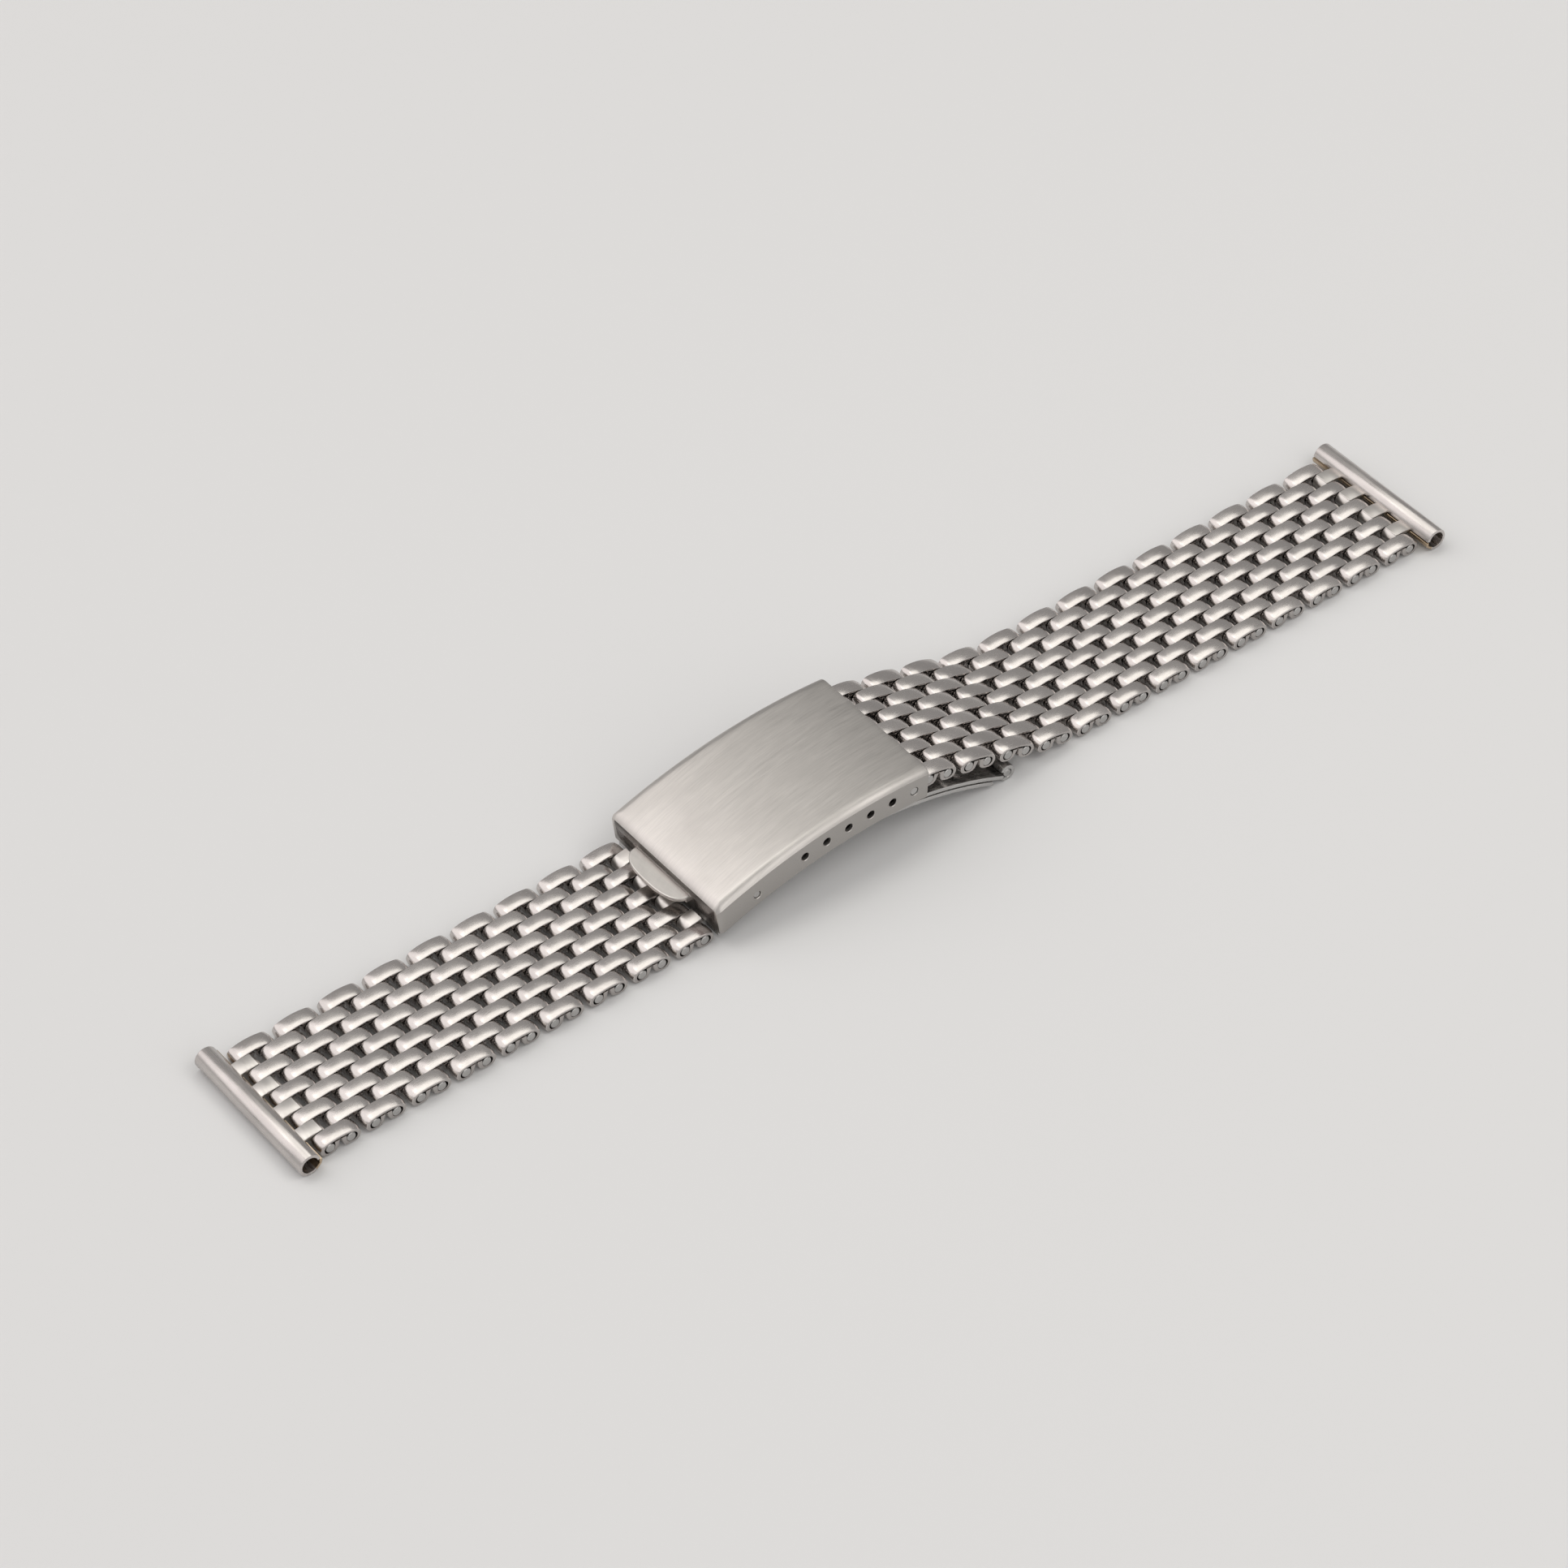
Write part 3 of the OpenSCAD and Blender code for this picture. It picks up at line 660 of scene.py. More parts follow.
def row_tree():
    """A row: one link at each column, and pins through them, placed at the row's centre."""
    tree = bpy.data.node_groups.new("link_row", "GeometryNodeTree")
    tree.interface.new_socket("Geometry", in_out="OUTPUT", socket_type="NodeSocketGeometry")
    for name, kind in SOCKETS.items():
        tree.interface.new_socket(name, in_out="INPUT", socket_type=kind)
    nodes, links = tree.nodes, tree.links
    inputs = nodes.new("NodeGroupInput")
    output = nodes.new("NodeGroupOutput")

    def joined(source, target):
        links.new(source, target)

    def line(count, step, axis):
        """Points in a line, centred on zero."""
        reach = nodes.new("ShaderNodeMath")
        reach.operation = "SUBTRACT"
        joined(count, reach.inputs[0])
        reach.inputs[1].default_value = 1
        back = nodes.new("ShaderNodeMath")
        back.operation = "MULTIPLY"
        joined(reach.outputs[0], back.inputs[0])
        joined(step, back.inputs[1])
        half = nodes.new("ShaderNodeMath")
        half.operation = "MULTIPLY"
        half.inputs[1].default_value = -0.5
        joined(back.outputs[0], half.inputs[0])
        start = nodes.new("ShaderNodeCombineXYZ")
        joined(half.outputs[0], start.inputs[axis])
        offset = nodes.new("ShaderNodeCombineXYZ")
        joined(step, offset.inputs[axis])
        made = nodes.new("GeometryNodeMeshLine")
        made.mode = "OFFSET"
        joined(count, made.inputs["Count"])
        joined(start.outputs[0], made.inputs["Start Location"])
        joined(offset.outputs[0], made.inputs["Offset"])
        return made.outputs[0]

    def copies(points, template):
        info = nodes.new("GeometryNodeObjectInfo")
        info.inputs["As Instance"].default_value = True
        joined(template, info.inputs["Object"])
        placed = nodes.new("GeometryNodeInstanceOnPoints")
        joined(points, placed.inputs["Points"])
        joined(info.outputs["Geometry"], placed.inputs["Instance"])
        return placed.outputs[0]

    row = copies(line(inputs.outputs["Links"], inputs.outputs["Column step"], "Y"), inputs.outputs["Link"])
    tone = nodes.new("FunctionNodeRandomValue")
    tone.data_type = "FLOAT"
    joined(inputs.outputs["Seed"], tone.inputs["Seed"])
    store = nodes.new("GeometryNodeStoreNamedAttribute")
    store.data_type = "FLOAT"
    store.domain = "INSTANCE"
    store.inputs["Name"].default_value = "link_tone"
    joined(row, store.inputs["Geometry"])
    joined(next(o for o in tone.outputs if o.type == "VALUE"), store.inputs["Value"])
    pins = copies(line(inputs.outputs["Pins"], inputs.outputs["Pin span"], "X"), inputs.outputs["Pin"])
    both = nodes.new("GeometryNodeJoinGeometry")
    joined(pins, both.inputs[0])
    joined(store.outputs[0], both.inputs[0])
    turn = nodes.new("ShaderNodeCombineXYZ")
    joined(inputs.outputs["Tilt"], turn.inputs["Y"])
    placed = nodes.new("GeometryNodeTransform")
    joined(both.outputs[0], placed.inputs["Geometry"])
    joined(inputs.outputs["Centre"], placed.inputs["Translation"])
    joined(turn.outputs[0], placed.inputs["Rotation"])
    real = nodes.new("GeometryNodeRealizeInstances")
    joined(placed.outputs[0], real.inputs[0])
    metal = nodes.new("GeometryNodeSetMaterial")
    joined(real.outputs[0], metal.inputs["Geometry"])
    joined(inputs.outputs["Link steel"], metal.inputs["Material"])
    is_pin = nodes.new("GeometryNodeInputNamedAttribute")
    is_pin.data_type = "FLOAT"
    is_pin.inputs["Name"].default_value = "pin_metal"
    over = nodes.new("FunctionNodeCompare")
    over.data_type = "FLOAT"
    over.operation = "GREATER_THAN"
    joined(is_pin.outputs[0], over.inputs[0])
    over.inputs[1].default_value = 0.5
    pin_metal = nodes.new("GeometryNodeSetMaterial")
    joined(metal.outputs[0], pin_metal.inputs["Geometry"])
    joined(over.outputs[0], pin_metal.inputs["Selection"])
    joined(inputs.outputs["Pin steel"], pin_metal.inputs["Material"])
    joined(pin_metal.outputs[0], output.inputs[0])
    return tree


def row_mesh(tree, name, values):
    """Evaluates the row tree once with these inputs and returns its plain mesh."""
    carrier = bpy.data.objects.new("row_carrier", bpy.data.meshes.new("row_carrier"))
    bpy.context.scene.collection.objects.link(carrier)
    modifier = carrier.modifiers.new("row", "NODES")
    modifier.node_group = tree
    for item in tree.interface.items_tree:
        if item.in_out == "INPUT" and item.name in values:
            modifier[item.identifier] = values[item.name]
    bpy.context.view_layer.update()
    graph = bpy.context.evaluated_depsgraph_get()
    mesh = bpy.data.meshes.new_from_object(
        carrier.evaluated_get(graph), preserve_all_data_layers=True, depsgraph=graph
    )
    mesh.name = name
    carrier.modifiers.remove(modifier)
    bpy.data.objects.remove(carrier)
    return mesh


def row_pins(body):
    """The two pin places of a row, left to right, from the joints on both of its sides."""
    ends = [
        (j["pos_m"][0], j["pos_m"][2])
        for j in frame["joints"]
        if j["type"] == "hinge" and body in (j["parent"], j["child"])
    ]
    if len(ends) != 2:
        raise RuntimeError(f"{body} has {len(ends)} hinges, not two")
    return sorted(ends)


class BRACELET_OT_link_rows(bpy.types.Operator):
    """Makes each wide and narrow row from one link, repeated across the band"""

    bl_idname = "bracelet.link_rows"
    bl_label = "Link rows"

    def execute(self, context):
        s = context.scene.bracelet_links
        look = context.scene.bracelet_steel
        steel = satin_steel(look)
        pin_steel = blade_steel(look, "pin_steel", look.pin)
        templates = {}
        half = s.width / 2
        for kind, outline in (
            ("wide", link_outline(s, s.wide_span, s.pin + mm(0.02), s.relief)),
            ("narrow", link_outline(s, s.narrow_span, s.pin + mm(0.04), 0.0)),
            ("bar", bar_link_outline(s, s.bar + mm(0.04))),
        ):
            bm = bmesh.new()
            add_solid(bm, outline, -half, half, along_y(), s.rim, 1, dome=s.dome)
            templates[kind] = to_object(bm, f"{kind}_link", steel)
        columns = 2 * s.wide_count - 1
        band = (columns * s.width + (columns - 1) * s.gap) / 2
        bm = bmesh.new()
        add_solid(
            bm, pin_outline(s.pin), -band, band, along_y(), mm(0.05), 1, {"pin_metal": 1.0}
        )
        pin = to_object(bm, "cross_pin", pin_steel)
        tree = row_tree()
        bodies = [b for b in frame["bodies"] if "_row_" in b]
        for index, body in enumerate(sorted(bodies)):
            (x0, z0), (x1, z1) = row_pins(body)
            wide = "wide" in body
            kind = "bar" if body == "right_narrow_row_1" else "wide" if wide else "narrow"
            values = {
                "Link": templates[kind],
                "Links": s.wide_count if wide else s.wide_count - 1,
                "Column step": 2 * (s.width + s.gap),
                "Pin": pin,
                "Pins": 2 if wide else 0,
                "Pin span": s.wide_span,
                "Centre": ((x0 + x1) / 2, 0.0, (z0 + z1) / 2),
                "Tilt": -math.atan2(z1 - z0, x1 - x0),
                "Seed": s.seed + index,
                "Link steel": steel,
                "Pin steel": pin_steel,
            }
            mesh = row_mesh(tree, body, values)
            made = bpy.data.objects.new(body + "_links", mesh)
            context.scene.collection.objects.link(made)
            dressed(made, body, "satin_steel", body)
        for template in [*templates.values(), pin]:
            bpy.data.objects.remove(template)
        return {"FINISHED"}


class BRACELET_OT_end_pieces(bpy.types.Operator):
    """Makes both rolled end tubes with their lips and flat-topped tongues"""

    bl_idname = "bracelet.end_pieces"
    bl_label = "End pieces"

    def execute(self, context):
        e = context.scene.bracelet_ends
        s = context.scene.bracelet_links
        steel = drawn_tube(context.scene.bracelet_steel)
        step = s.width + s.gap
        for body in ("left_end_piece", "right_end_piece"):
            x, z = row_pins_of_end(body)
            side = -1 if body.startswith("left") else 1
            bm = bmesh.new()

            def place(u, v, depth, x=x, z=z, side=side):
                return (x + side * u, depth, z + v)

            add_solid(bm, tube_outline(e), -e.span / 2, e.span / 2, place, mm(0.06), 2, {"lip": 0.0})
            lip = e.span / 2 - mm(0.02)
            add_solid(bm, lip_outline(e), -lip, lip, place, mm(0.05), 2, {"lip": 1.0})
            tongue = tongue_outline(
                s.curl, s.pin + mm(0.04), e.tongue, e.reach - e.tube * 0.75, -s.curl * 0.45
            )
            for i in range(s.wide_count - 1):
                mid = (2 * i + 2 - s.wide_count) * step
                # The "tongue" mark gives these tops a lighter colour, painted light.
                add_solid(bm, tongue, mid - s.width / 2, mid + s.width / 2, place, mm(0.07), 2, {"tongue": 1.0})
            dressed(to_object(bm, body + "_sheet", steel), body, "satin_steel", body)
        return {"FINISHED"}


def row_pins_of_end(body):
    joint = next(j for j in frame["joints"] if j["child"] == body)
    return joint["pos_m"][0], joint["pos_m"][2]


# Clasp


def blade_arcs(b):
    """The blades' centre and their radii from the top of the upper to the foot of the lower."""
    cx = along(0) + b.crest
    cz = b.top - b.arc
    upper_in = b.arc - b.sheet
    lower_out = upper_in - b.gap
    return cx, cz, b.arc, upper_in, lower_out, lower_out - b.sheet


def on_arc(cx, cz, r, x0, x1, steps, share=1.0):
    """Points on the upper side of a circle between two x values."""
    out = []
    for i in range(steps + 1):
        x = x0 + (x1 - x0) * i / steps
        out.append((x, cz + math.sqrt(r * r - (x - cx) ** 2), share))
    return out


def cover_section(c):
    """The folded sheet seen along the bracelet: (height under the crest, across, rim share)."""
    half = c.width / 2
    low = -c.flange
    t = c.sheet
    soft = mm(0.1)
    crease = math.radians(c.crease)
    right = [(low, half - soft, 0.6), (low + soft, half, 0.5), (-c.edge, half, 0.4)]
    middle = half - c.edge * math.sin(crease)
    for i in range(8):
        a = crease * (1 - i / 7)
        right.append((c.edge * (math.cos(a) - 1), middle + c.edge * math.sin(a), 0.5 + 0.5 * i / 7))
    right.append((0.0, middle - mm(0.3), 1.0))
    right.append((0.0, half / 2, 1.0))
    inside = [(-t, half / 2, 0.1), (-t, half - c.edge - mm(0.2), 0.1)]
    for i in range(5):
        a = math.radians(90 - 90 * i / 4)
        r = c.edge - t
        inside.append((-c.edge + r * math.sin(a), half - c.edge + r * math.cos(a), 0.1))
    inside += [(-c.edge - mm(0.2), half - t, 0.1), (low + soft, half - t, 0.3), (low, half - t + soft, 0.6)]
    far = [(h, -y, k) for h, y, k in reversed(right)]
    back = [(h, -y, k) for h, y, k in reversed(inside)]
    return right + far + back + inside


FRONT_LEAN = math.radians(6)
COVER_LEFT = math.radians(19.6)
COVER_RIGHT = math.radians(5.4)
ROLL_TURN = math.radians(44)
ROLL_RADIUS = 1 / (1 - math.cos(ROLL_TURN))


def cover_point(c, depth, angle):
    cx, cz = along(0) + c.crest, c.top - c.arc
    r = c.arc - depth
    return cx + r * math.sin(angle), cz + r * math.cos(angle)


def front_angle(c, h):
    """Angle at which a point this far from the crest's radius meets the front plane."""
    fx, fz = cover_point(c, 0.0, -COVER_LEFT)
    cx, cz = along(0) + c.crest, c.top - c.arc
    reach = (fx - cx) * math.cos(FRONT_LEAN) + (fz - cz) * math.sin(FRONT_LEAN)
    return math.asin(reach / (c.arc + h)) - FRONT_LEAN


def swept_cover(bm, c, steps=44):
    """Sweeps the section along the arc, rounded at the free end and bent at the front."""
    section = cover_section(c)
    moves = rim_inset([(y, h, k) for h, y, k in section])
    if sum(a[1] * b[0] - a[0] * b[1] for a, b in zip(section, section[1:] + section[:1])) < 0:
        moves = [-m for m in moves]
    flat = bm.faces.layers.float.get("flat_side") or bm.faces.layers.float.new("flat_side")
    rims = []
    levels = [(1 - math.sin(math.radians(15 * i)), 1 - math.cos(math.radians(15 * i))) for i in range(7)]
    for inset, back in levels:
        rims.append(("right", inset, back))
    for i in range(1, steps):
        rims.append(("mid", i / steps, 0))
    for i in range(9):
        a = ROLL_TURN * i / 8
        rims.append(("left", ROLL_RADIUS * (1 - math.cos(a)), ROLL_RADIUS * (math.sin(ROLL_TURN) - math.sin(a))))
    rings = []
    for kind, a, back in rims:
        ring = []
        for (h, y, share), move in zip(section, moves):
            left = front_angle(c, h)
            bend = c.bend * share
            end = mm(0.12) * max(share, 0.5)
            if kind == "right":
                hh, yy = h + move.y / max(share, 0.01) * end * a, y + move.x / max(share, 0.01) * end * a
                angle = COVER_RIGHT - back * end / c.arc
            elif kind == "left":
                hh, yy = h + move.y * c.bend * a, y + move.x * c.bend * a
                angle = front_angle(c, hh) + back * bend / c.arc
            else:
                start = COVER_RIGHT - end / c.arc
                stop = left + bend * ROLL_RADIUS * math.sin(ROLL_TURN) / c.arc
                hh, yy = h, y
                angle = start + (stop - start) * a
            x, z = cover_point(c, -hh, angle)
            ring.append(bm.verts.new((x, yy, z)))
        rings.append(ring)
    n = len(section)
    bm.faces.new(rings[0])
    bm.faces.new(list(reversed(rings[-1])))
    for a, b in zip(rings, rings[1:]):
        for i in range(n):
            j = (i + 1) % n
            f = bm.faces.new((a[i], b[i], b[j], a[j]))
            if min(section[i][0], section[j][0]) <= -c.edge:
                f[flat] = 1.0
    return section


def cover_cutters(c):
    """Drills for the adjusting holes and the hinge pin's holes."""
    bm = bmesh.new()
    r = c.arc - c.hole_depth
    cx, cz = along(0) + c.crest, c.top - c.arc
    bar = math.asin((BAR[0] - cx) / r)
    step = c.hole_pitch / r
    half = c.width / 2
    spots = [(cx + r * math.sin(bar - i * step), cz + r * math.cos(bar - i * step)) for i in range(6)]
    drills = [(p, c.hole, mm(0.06)) for p in spots] + [(COVER_HINGE, mm(0.43), mm(0.05))]
    for (x, z), radius, flare in drills:
        for side in (-1, 1):
            stations = [(half - mm(2), radius), (half - flare, radius), (half + flare, radius + 2 * flare)]
            lathe(bm, x, z, [(side * y, rr) for y, rr in stations], 32)
    return to_object(bm, "cover_drills", None)


def lathe(bm, x, z, stations, steps):
    """A closed turned solid along y through x, z; stations are (y, radius)."""
    rings = []
    for y, r in stations:
        rings.append([
            bm.verts.new((x + r * math.cos(2 * math.pi * i / steps), y, z + r * math.sin(2 * math.pi * i / steps)))
            for i in range(steps)
        ])
    bm.faces.new(rings[0])
    bm.faces.new(list(reversed(rings[-1])))
    for a, b in zip(rings, rings[1:]):
        for i in range(steps):
            j = (i + 1) % steps
            bm.faces.new((a[i], b[i], b[j], a[j]))


def front_wall(bm, c):
    """The leaning front wall with its notch for the finger tab."""
    fx, fz = cover_point(c, 0.0, -COVER_LEFT)
    half = c.width / 2 - c.sheet - mm(0.15)
    notch = mm(4.65)
    high = -c.bend - mm(0.03)
    step = mm(3.3) - fz
    low = mm(1.8) - fz
    r = mm(0.5)
    out = [(half, low + mm(0.25), 1), (half, high, 0), (-half, high, 0), (-half, low + mm(0.25), 1), (-half + mm(0.25), low, 1)]
    out += [(-notch - mm(0.1), low, 1), (-notch, low + mm(0.15), 1)]
    out += [(-notch + r - r * math.cos(math.radians(a)), step - r + r * math.sin(math.radians(a)), 1) for a in (0, 30, 60, 90)]
    out += [(notch - r + r * math.sin(math.radians(a)), step - r + r * math.cos(math.radians(a)), 1) for a in (0, 30, 60, 90)]
    out += [(notch, low + mm(0.15), 1), (notch + mm(0.1), low, 1), (half - mm(0.25), low, 1)]
    ct, st = math.cos(FRONT_LEAN), math.sin(FRONT_LEAN)

    def place(y, up, depth):
        return (fx + depth * ct - up * st, y, fz + up * ct + depth * st)

    # The "front" mark makes the cover's material paint this wall dark, a painted shade.
    add_solid(bm, out, 0.0, c.sheet, place, mm(0.08), 2, {"front": 1.0})


class BRACELET_OT_clasp_cover(bpy.types.Operator):
    """Makes the curved clasp cover with its flanges, holes and front wall"""

    bl_idname = "bracelet.clasp_cover"
    bl_label = "Clasp cover"

    def execute(self, context):
        c = context.scene.bracelet_cover
        steel = brushed_cover(context.scene.bracelet_steel)
        bm = bmesh.new()
        swept_cover(bm, c)
        shell = to_object(bm, "cover_shell", steel)
        drills = cover_cutters(c)
        cut = shell.modifiers.new("holes", "BOOLEAN")
        cut.operation = "DIFFERENCE"
        cut.solver = "EXACT"
        cut.object = drills
        bpy.context.view_layer.update()
        graph = context.evaluated_depsgraph_get()
        mesh = bpy.data.meshes.new_from_object(shell.evaluated_get(graph), preserve_all_data_layers=True, depsgraph=graph)
        shell.modifiers.remove(cut)
        bpy.data.objects.remove(drills)
        bpy.data.objects.remove(shell)
        bm = bmesh.new()
        bm.from_mesh(mesh)
        bpy.data.meshes.remove(mesh)
        front_wall(bm, c)
        cover = to_object(bm, "clasp_cover_sheet", steel, 30)
        dressed(cover, "cover", "brushed_cover", "clasp_cover")
        return {"FINISHED"}


def roll_strip(b, x0, bore):
    """The upper blade's end, rolled up round the fold hinge pin and left open at its top left."""
    cx, cz, outer, inner, _, _ = blade_arcs(b)
    rx, rz = FOLD_HINGE
    foot = x0
    while math.dist((foot, cz + math.sqrt(inner**2 - (foot - cx) ** 2)), (rx, rz)) > b.roll:
        foot += mm(0.005)
    head = x0
    while math.dist((head, cz + math.sqrt(outer**2 - (head - cx) ** 2)), (rx, rz)) > bore:
        head += mm(0.005)
    foot_z = cz + math.sqrt(inner**2 - (foot - cx) ** 2)
    head_z = cz + math.sqrt(outer**2 - (head - cx) ** 2)
    start = math.degrees(math.atan2(foot_z - rz, foot - rx)) % 360
    stop = math.degrees(math.atan2(head_z - rz, head - rx)) % 360
    inside = mm(0.006)
    out = on_arc(cx, cz, inner + inside, x0, foot, 3)
    out += arc(rx, rz, b.roll, start - 360, 150, 22)
    out += arc(rx, rz, bore, 150, stop - 360, 16, 0.3)
    out += on_arc(cx, cz, outer - inside, head, x0, 3)
    return out


class BRACELET_OT_clasp_blades(bpy.types.Operator):
    """Makes the two folded blades of the clasp with their rolled knuckles"""

    bl_idname = "bracelet.clasp_blades"
    bl_label = "Clasp blades"

    def execute(self, context):
        b = context.scene.bracelet_blades
        s = context.scene.bracelet_links
        steel = blade_steel(context.scene.bracelet_steel)
        cx, cz, top, upper_in, lower_out, low = blade_arcs(b)
        half = b.width / 2
        shoulder = FOLD_HINGE[0] - mm(1.8)
        rim = mm(0.08)
        bore = mm(0.49)
        # Upper blade
        bm = bmesh.new()
        hx, hz = COVER_HINGE
        band = on_arc(cx, cz, upper_in, hx + mm(0.5), shoulder, 40)
        band += on_arc(cx, cz, top, shoulder, hx + mm(0.5), 40)
        add_solid(bm, band, -half, half, along_y(), rim, 2)
        ring = arc(hx, hz, mm(0.89), -270, 30, 24) + arc(hx, hz, mm(0.44), 30, -270, 18, 0.3)
        add_solid(bm, ring, -half, half, along_y(), rim, 2)
        strip = roll_strip(b, shoulder - mm(0.3), bore)
        inner = b.knuckle + mm(0.15)
        outer = half - mm(0.006)
        for y0, y1 in ((-outer, -inner), (inner, outer)):
            add_solid(bm, strip, y0, y1, along_y(), rim, 2)
        dressed(to_object(bm, "upper_blade", steel), "middle_blade", "blade_steel", "middle_blade")
        # Bottom blade
        bm = bmesh.new()
        left = along(0) + s.size / 2 - s.wide_span / 2 + mm(0.3)
        band = on_arc(cx, cz, low, left, shoulder, 40) + on_arc(cx, cz, lower_out, shoulder, left, 40)
        add_solid(bm, band, -half, half, along_y(), rim, 2)
        rx, rz = FOLD_HINGE
        neck_low = cz + math.sqrt(low**2 - (shoulder - cx) ** 2)
        neck_top = cz + math.sqrt(lower_out**2 - (shoulder - cx) ** 2)
        knuckle = [(shoulder - mm(0.3), neck_low + mm(0.14), 0.2), (shoulder, neck_low, 0.6)]
        knuckle += arc(rx, rz, b.roll, -97, 168, 24)
        knuckle += arc(rx, rz, bore, 168, -150, 18, 0.3)
        knuckle += [(shoulder, neck_top, 0.6), (shoulder - mm(0.3), neck_top + mm(0.12), 0.2)]
        add_solid(bm, knuckle, -b.knuckle, b.knuckle, along_y(), rim, 2)
        step = s.width + s.gap
        wrap = tongue_outline(s.curl, s.pin + mm(0.04), mm(0.34), mm(0.95), tilt=10)
        neck = [(along(0.5), PIN_Z - mm(0.15), 0.3)]
        neck += [(left + mm(0.2), cz + math.sqrt(low**2 - (left + mm(0.2) - cx) ** 2) + mm(0.02), 0.3)]
        neck += [(left + mm(0.2), cz + math.sqrt(lower_out**2 - (left + mm(0.2) - cx) ** 2) - mm(0.02), 0.3)]
        neck += [(along(0.6), PIN_Z + mm(0.5), 0.3)]
        for i in range(s.wide_count - 1):
            mid = (2 * i + 2 - s.wide_count) * step
            lo, hi = mid - s.width / 2, mid + s.width / 2
            # The "tongue" mark gives these tops a lighter colour, painted light.
            add_solid(bm, wrap, lo, hi, along_y(ZERO_X, PIN_Z), mm(0.07), 2, {"tongue": 1.0})
            add_solid(bm, neck, lo + mm(0.01), hi - mm(0.01), along_y(), mm(0.05), 2)
        dressed(to_object(bm, "lower_blade", steel), "bottom_blade", "blade_steel", "bottom_blade")
        return {"FINISHED"}


class BRACELET_OT_finger_tab(bpy.types.Operator):
    """Makes the half-moon finger tab with the strip that carries it"""

    bl_idname = "bracelet.finger_tab"
    bl_label = "Finger tab"

    def execute(self, context):
        b = context.scene.bracelet_blades
        cx, cz, _, _, lower_out, _ = blade_arcs(b)
        bm = bmesh.new()
        t = mm(0.45)
        half = mm(4.35)
        edge = along(0.98)
        reach = mm(2.11)
        fullness = 2 / 2.6
        moon = []
        for i in range(41):
            a = math.pi * i / 40
            cos, sin = math.cos(a), math.sin(a)
            bulge = reach * max(sin, 0.0) ** fullness
            moon.append((edge - bulge, math.copysign(half * abs(cos) ** fullness, cos), 1.0))
        high = mm(3.5)
        add_solid(bm, moon, high - t, high, lambda x, y, d: (x, y, d), mm(0.1), 2)
        strip_top = high - mm(0.3)
        root = along(1.9)
        strip = [
            (edge - mm(0.4), strip_top - t, 0), (root + mm(0.1), strip_top - t, 0.3),
            (root + t, strip_top - mm(0.2), 1), (root + t - mm(0.1), strip_top, 1), (edge - mm(0.4), strip_top, 0),
        ]
        add_solid(bm, strip, -half + mm(0.05), half - mm(0.05), along_y(), mm(0.05), 2)
        foot = cz + lower_out
        riser_low = cz + math.sqrt(lower_out**2 - (root - cx) ** 2) + mm(0.02)
        riser = [(root, riser_low, 0.3), (root + t, riser_low + mm(0.15), 0.3), (root + t, strip_top - mm(0.15), 0.5), (root, strip_top - mm(0.15), 0.5)]
        add_solid(bm, riser, -half + mm(0.06), half - mm(0.06), along_y(), mm(0.05), 2)
        stop = COVER_HINGE[0] - mm(1.24)
        lower = on_arc(cx, cz, lower_out + mm(0.015), root + mm(0.02), stop, 6)
        upper = on_arc(cx, cz, lower_out + t, stop, root + t, 6)
        ears = mm(2.6)
        full = lower + upper + [(root + t, ears, 1), (root, ears, 1)]
        width = b.width / 2
        add_solid(bm, full, -width, width, along_y(), mm(0.05), 2)
        tab = to_object(bm, "finger_tab_plate", tab_steel(context.scene.bracelet_steel))
        dressed(tab, "bottom_blade", "brushed_cover", "finger_tab")
        return {"FINISHED"}


class BRACELET_OT_hinge_pins(bpy.types.Operator):
    """Makes the clasp's two hinge pins and finishes the spring bar's hidden pieces"""

    bl_idname = "bracelet.hinge_pins"
    bl_label = "Hinge pins"

    def execute(self, context):
        look = context.scene.bracelet_steel
        c = context.scene.bracelet_cover
        b = context.scene.bracelet_blades
        steel = blade_steel(look, "hinge_pin_steel", look.pin)
        for name, body, node, place, r, half in (
            ("cover_pin", "cover", "cover_hinge_pin", COVER_HINGE, mm(0.4), c.width / 2 - mm(0.1)),
            ("fold_pin", "middle_blade", "fold_hinge_pin", FOLD_HINGE, mm(0.45), b.width / 2),
        ):
            bm = bmesh.new()
            add_solid(bm, pin_outline(r, 28), -half, half, along_y(*place), mm(0.1), 3)
            dressed(to_object(bm, name, steel), body, "pin_steel", node)
        for node in ("bar_barrel", "bar_tip_near", "bar_tip_far", "bar_spring"):
            obj = frame["nodes"][node]
            obj.data.materials.clear()
            obj.data.materials.append(steel)
        return {"FINISHED"}


# Stage

# Rotation of the view, and the camera's place, from the photograph's perspective
VIEW_TURN = 0.6343
VIEW_TIP = -0.8093
VIEW_ROLL = 0.0287
VIEW_PLACE = (-0.2386, -0.3135, 0.3773)
VIEW_LENS = 126.5


def camera_matrix():
    rows = Matrix.Rotation(VIEW_ROLL, 3, "Z") @ Matrix.Rotation(VIEW_TIP, 3, "X") @ Matrix.Rotation(VIEW_TURN, 3, "Z")
    return Matrix.Translation(VIEW_PLACE) @ rows.transposed().to_4x4()


def softbox(name, place, target, size, power, tint=(1, 1, 1)):
    light = bpy.data.lights.new(name, "AREA")
    light.shape = "RECTANGLE"
    light.size, light.size_y = size
    light.energy = power
    light.color = tint
    lamp = bpy.data.objects.new(name, light)
    bpy.context.scene.collection.objects.link(lamp)
    lamp.location = place
    lamp.rotation_euler = (Vector(target) - Vector(place)).to_track_quat("-Z", "Y").to_euler()
    return lamp


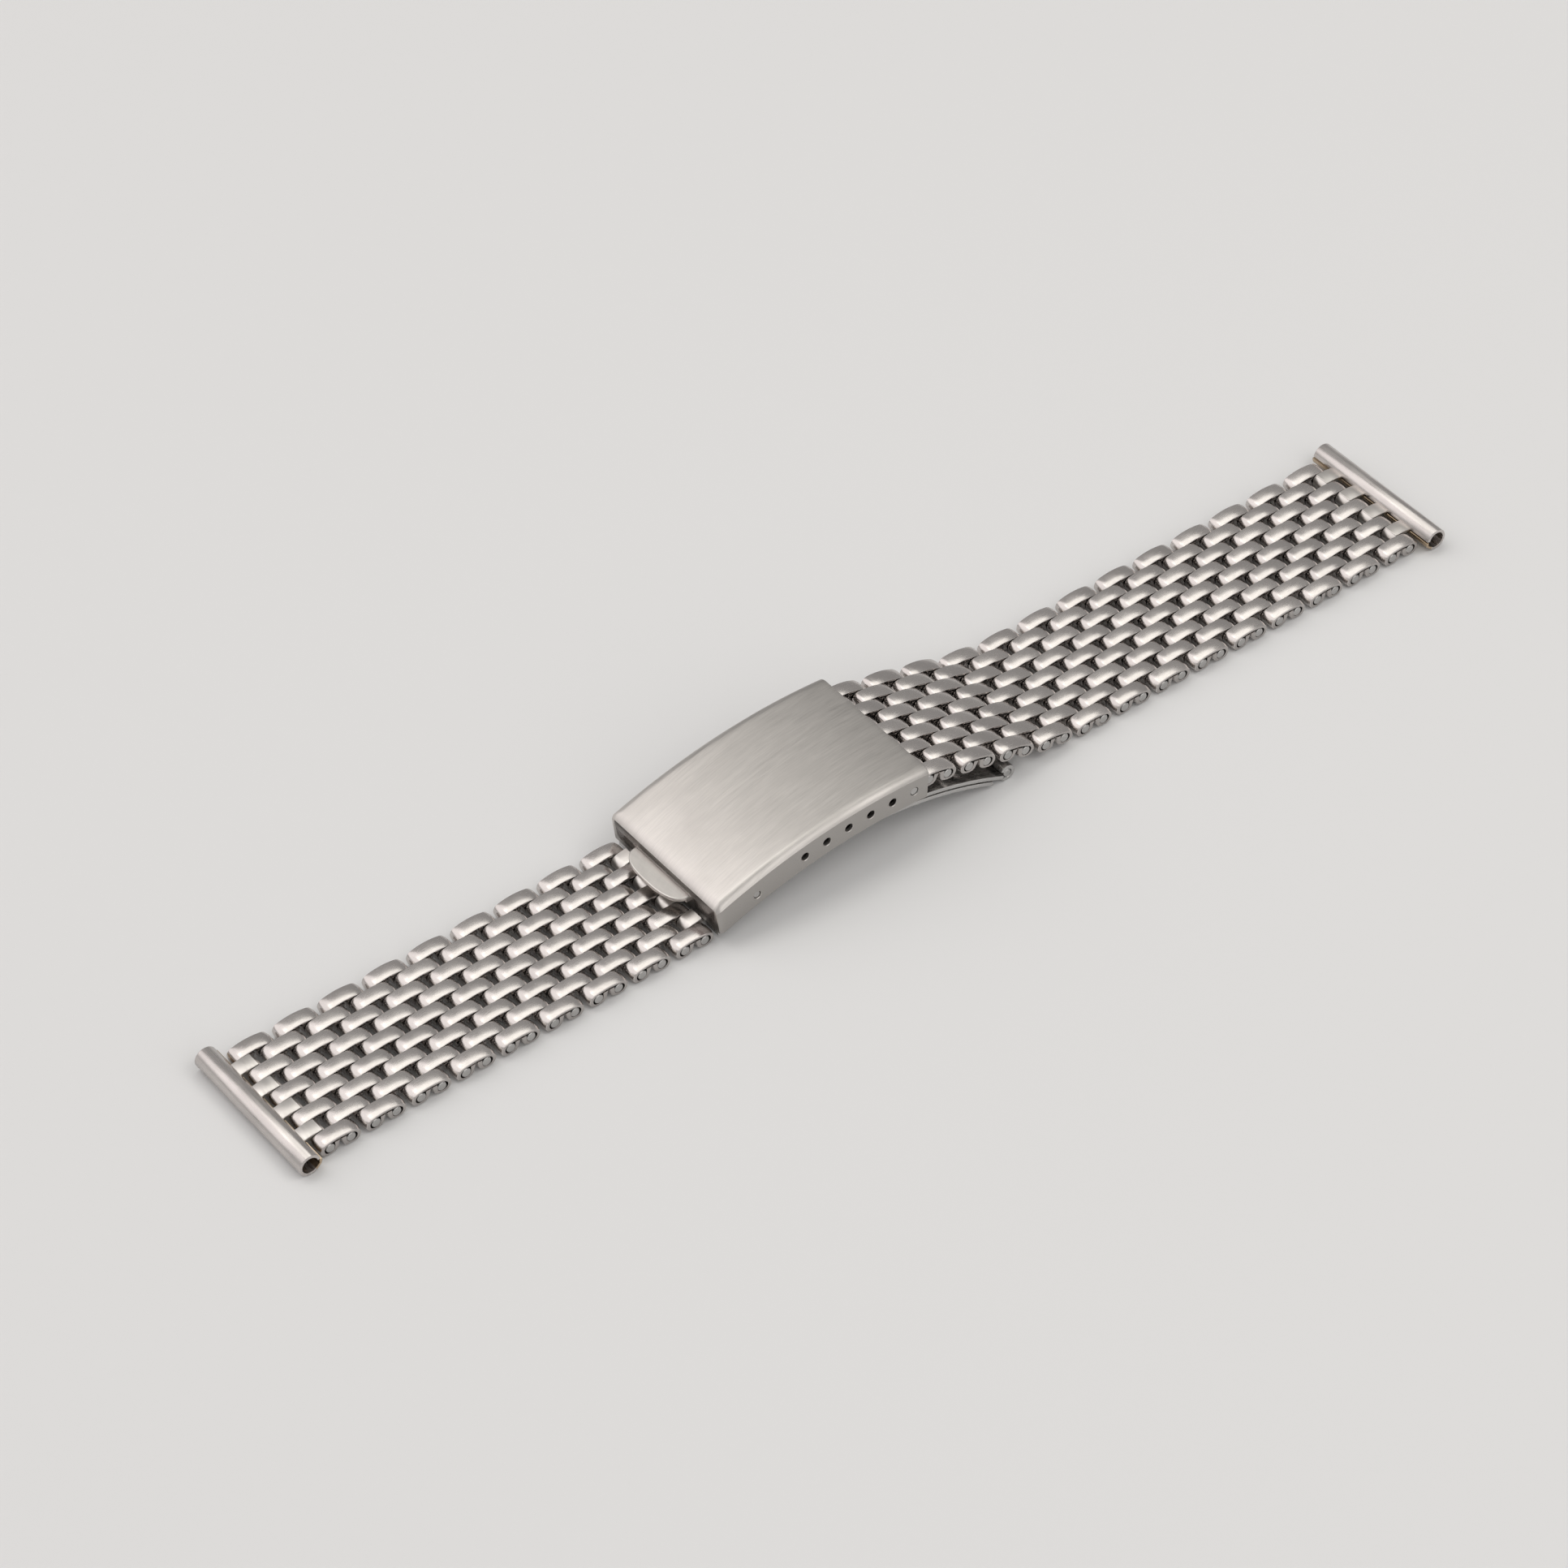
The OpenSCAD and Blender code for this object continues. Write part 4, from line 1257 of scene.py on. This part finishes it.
class BRACELET_OT_stage(bpy.types.Operator):
    """Sets the floor, the surroundings, the softboxes and the camera"""

    bl_idname = "bracelet.stage"
    bl_label = "Stage"

    def execute(self, context):
        look = context.scene.bracelet_stage
        scene = context.scene
        bm = bmesh.new()
        bmesh.ops.create_grid(bm, x_segments=8, y_segments=8, size=2.0)
        mesh = bpy.data.meshes.new("studio_floor")
        bm.to_mesh(mesh)
        bm.free()
        floor = bpy.data.objects.new("studio_floor", mesh)
        scene.collection.objects.link(floor)
        floor.location.z = -mm(0.02)
        material, shader = new_material("floor_paper")
        shader.inputs["Metallic"].default_value = 0.0
        shader.inputs["Roughness"].default_value = 0.7
        shader.inputs["Base Color"].default_value = rgba(look.floor)
        mesh.materials.append(material)
        world = bpy.data.worlds.new("studio")
        scene.world = world
        world.use_nodes = True
        tree = world.node_tree
        back = tree.nodes["Background"]
        place = tree.nodes.new("ShaderNodeTexCoord")
        glow = tree.nodes.new("ShaderNodeVectorMath")
        glow.operation = "DOT_PRODUCT"
        glow.inputs[1].default_value = Vector((-0.85, 0.35, 0.4)).normalized()
        ramp = tree.nodes.new("ShaderNodeMapRange")
        ramp.interpolation_type = "SMOOTHSTEP"
        ramp.inputs["From Min"].default_value = -0.3
        ramp.inputs["From Max"].default_value = 0.9
        ramp.inputs["To Min"].default_value = look.dim
        ramp.inputs["To Max"].default_value = look.glow
        tree.links.new(place.outputs["Generated"], glow.inputs[0])
        tree.links.new(glow.outputs["Value"], ramp.inputs["Value"])
        tree.links.new(ramp.outputs[0], back.inputs[1])
        back.inputs[0].default_value = (1.0, 0.985, 0.97, 1)
        softbox("back_softbox", (0.46, 0.69, 0.87), (0, 0, 0), (0.3, 0.32), look.back, (1, 0.985, 0.95))
        softbox("left_softbox", (-0.54, 0.64, 0.72), (0, 0, 0), (1.1, 1.1), look.left, (1, 0.95, 0.95))
        softbox("over_softbox", (0.25, 0.36, 1.08), (0.25, 0, 0), (1.2, 0.46), look.over, (1, 0.99, 0.94))
        softbox("top_softbox", (0.46, -0.4, 0.92), (0, 0, 0), (0.6, 0.6), look.top, (1, 0.98, 0.95))
        softbox("front_softbox", (0.1, -0.95, 0.7), (0, 0, 0), (1.5, 1.1), look.front, (1, 0.98, 0.96))
        data = bpy.data.cameras.new("photo_camera")
        data.sensor_fit = "HORIZONTAL"
        data.sensor_width = 36
        data.lens = VIEW_LENS
        data.clip_start = 0.01
        camera = bpy.data.objects.new("photo_camera", data)
        scene.collection.objects.link(camera)
        camera.matrix_world = camera_matrix()
        scene.camera = camera
        scene.view_settings.view_transform = "Standard"
        return {"FINISHED"}


class BRACELET_PT_panel(bpy.types.Panel):
    """Lists the pieces of the bracelet and their sizes"""

    bl_idname = "BRACELET_PT_panel"
    bl_label = "Bracelet"
    bl_space_type = "VIEW_3D"
    bl_region_type = "UI"
    bl_category = "Bracelet"

    def draw(self, context):
        for label, group in GROUPS.items():
            box = self.layout.box()
            box.label(text=label)
            values = getattr(context.scene, group[0])
            for name in group[1].__annotations__:
                box.prop(values, name)
        for operator in OPERATORS:
            self.layout.operator(operator.bl_idname)


GROUPS = {
    "Links": ("bracelet_links", LinkSizes),
    "End pieces": ("bracelet_ends", EndSizes),
    "Clasp cover": ("bracelet_cover", CoverSizes),
    "Clasp blades": ("bracelet_blades", BladeSizes),
    "Steel": ("bracelet_steel", SteelLook),
    "Stage": ("bracelet_stage", StageLook),
}
OPERATORS = (
    BRACELET_OT_link_rows,
    BRACELET_OT_end_pieces,
    BRACELET_OT_clasp_cover,
    BRACELET_OT_clasp_blades,
    BRACELET_OT_finger_tab,
    BRACELET_OT_hinge_pins,
    BRACELET_OT_stage,
)


def register():
    for name, group in GROUPS.values():
        bpy.utils.register_class(group)
        setattr(bpy.types.Scene, name, PointerProperty(type=group))
    for cls in (*OPERATORS, BRACELET_PT_panel):
        bpy.utils.register_class(cls)


def unregister():
    for cls in (BRACELET_PT_panel, *reversed(OPERATORS)):
        bpy.utils.unregister_class(cls)
    for name, group in GROUPS.values():
        delattr(bpy.types.Scene, name)
        bpy.utils.unregister_class(group)


def main():
    register()
    bpy.ops.bracelet.link_rows()
    bpy.ops.bracelet.end_pieces()
    bpy.ops.bracelet.clasp_cover()
    bpy.ops.bracelet.clasp_blades()
    bpy.ops.bracelet.finger_tab()
    bpy.ops.bracelet.hinge_pins()
    bpy.ops.bracelet.stage()


if __name__ == "__main__":
    main()
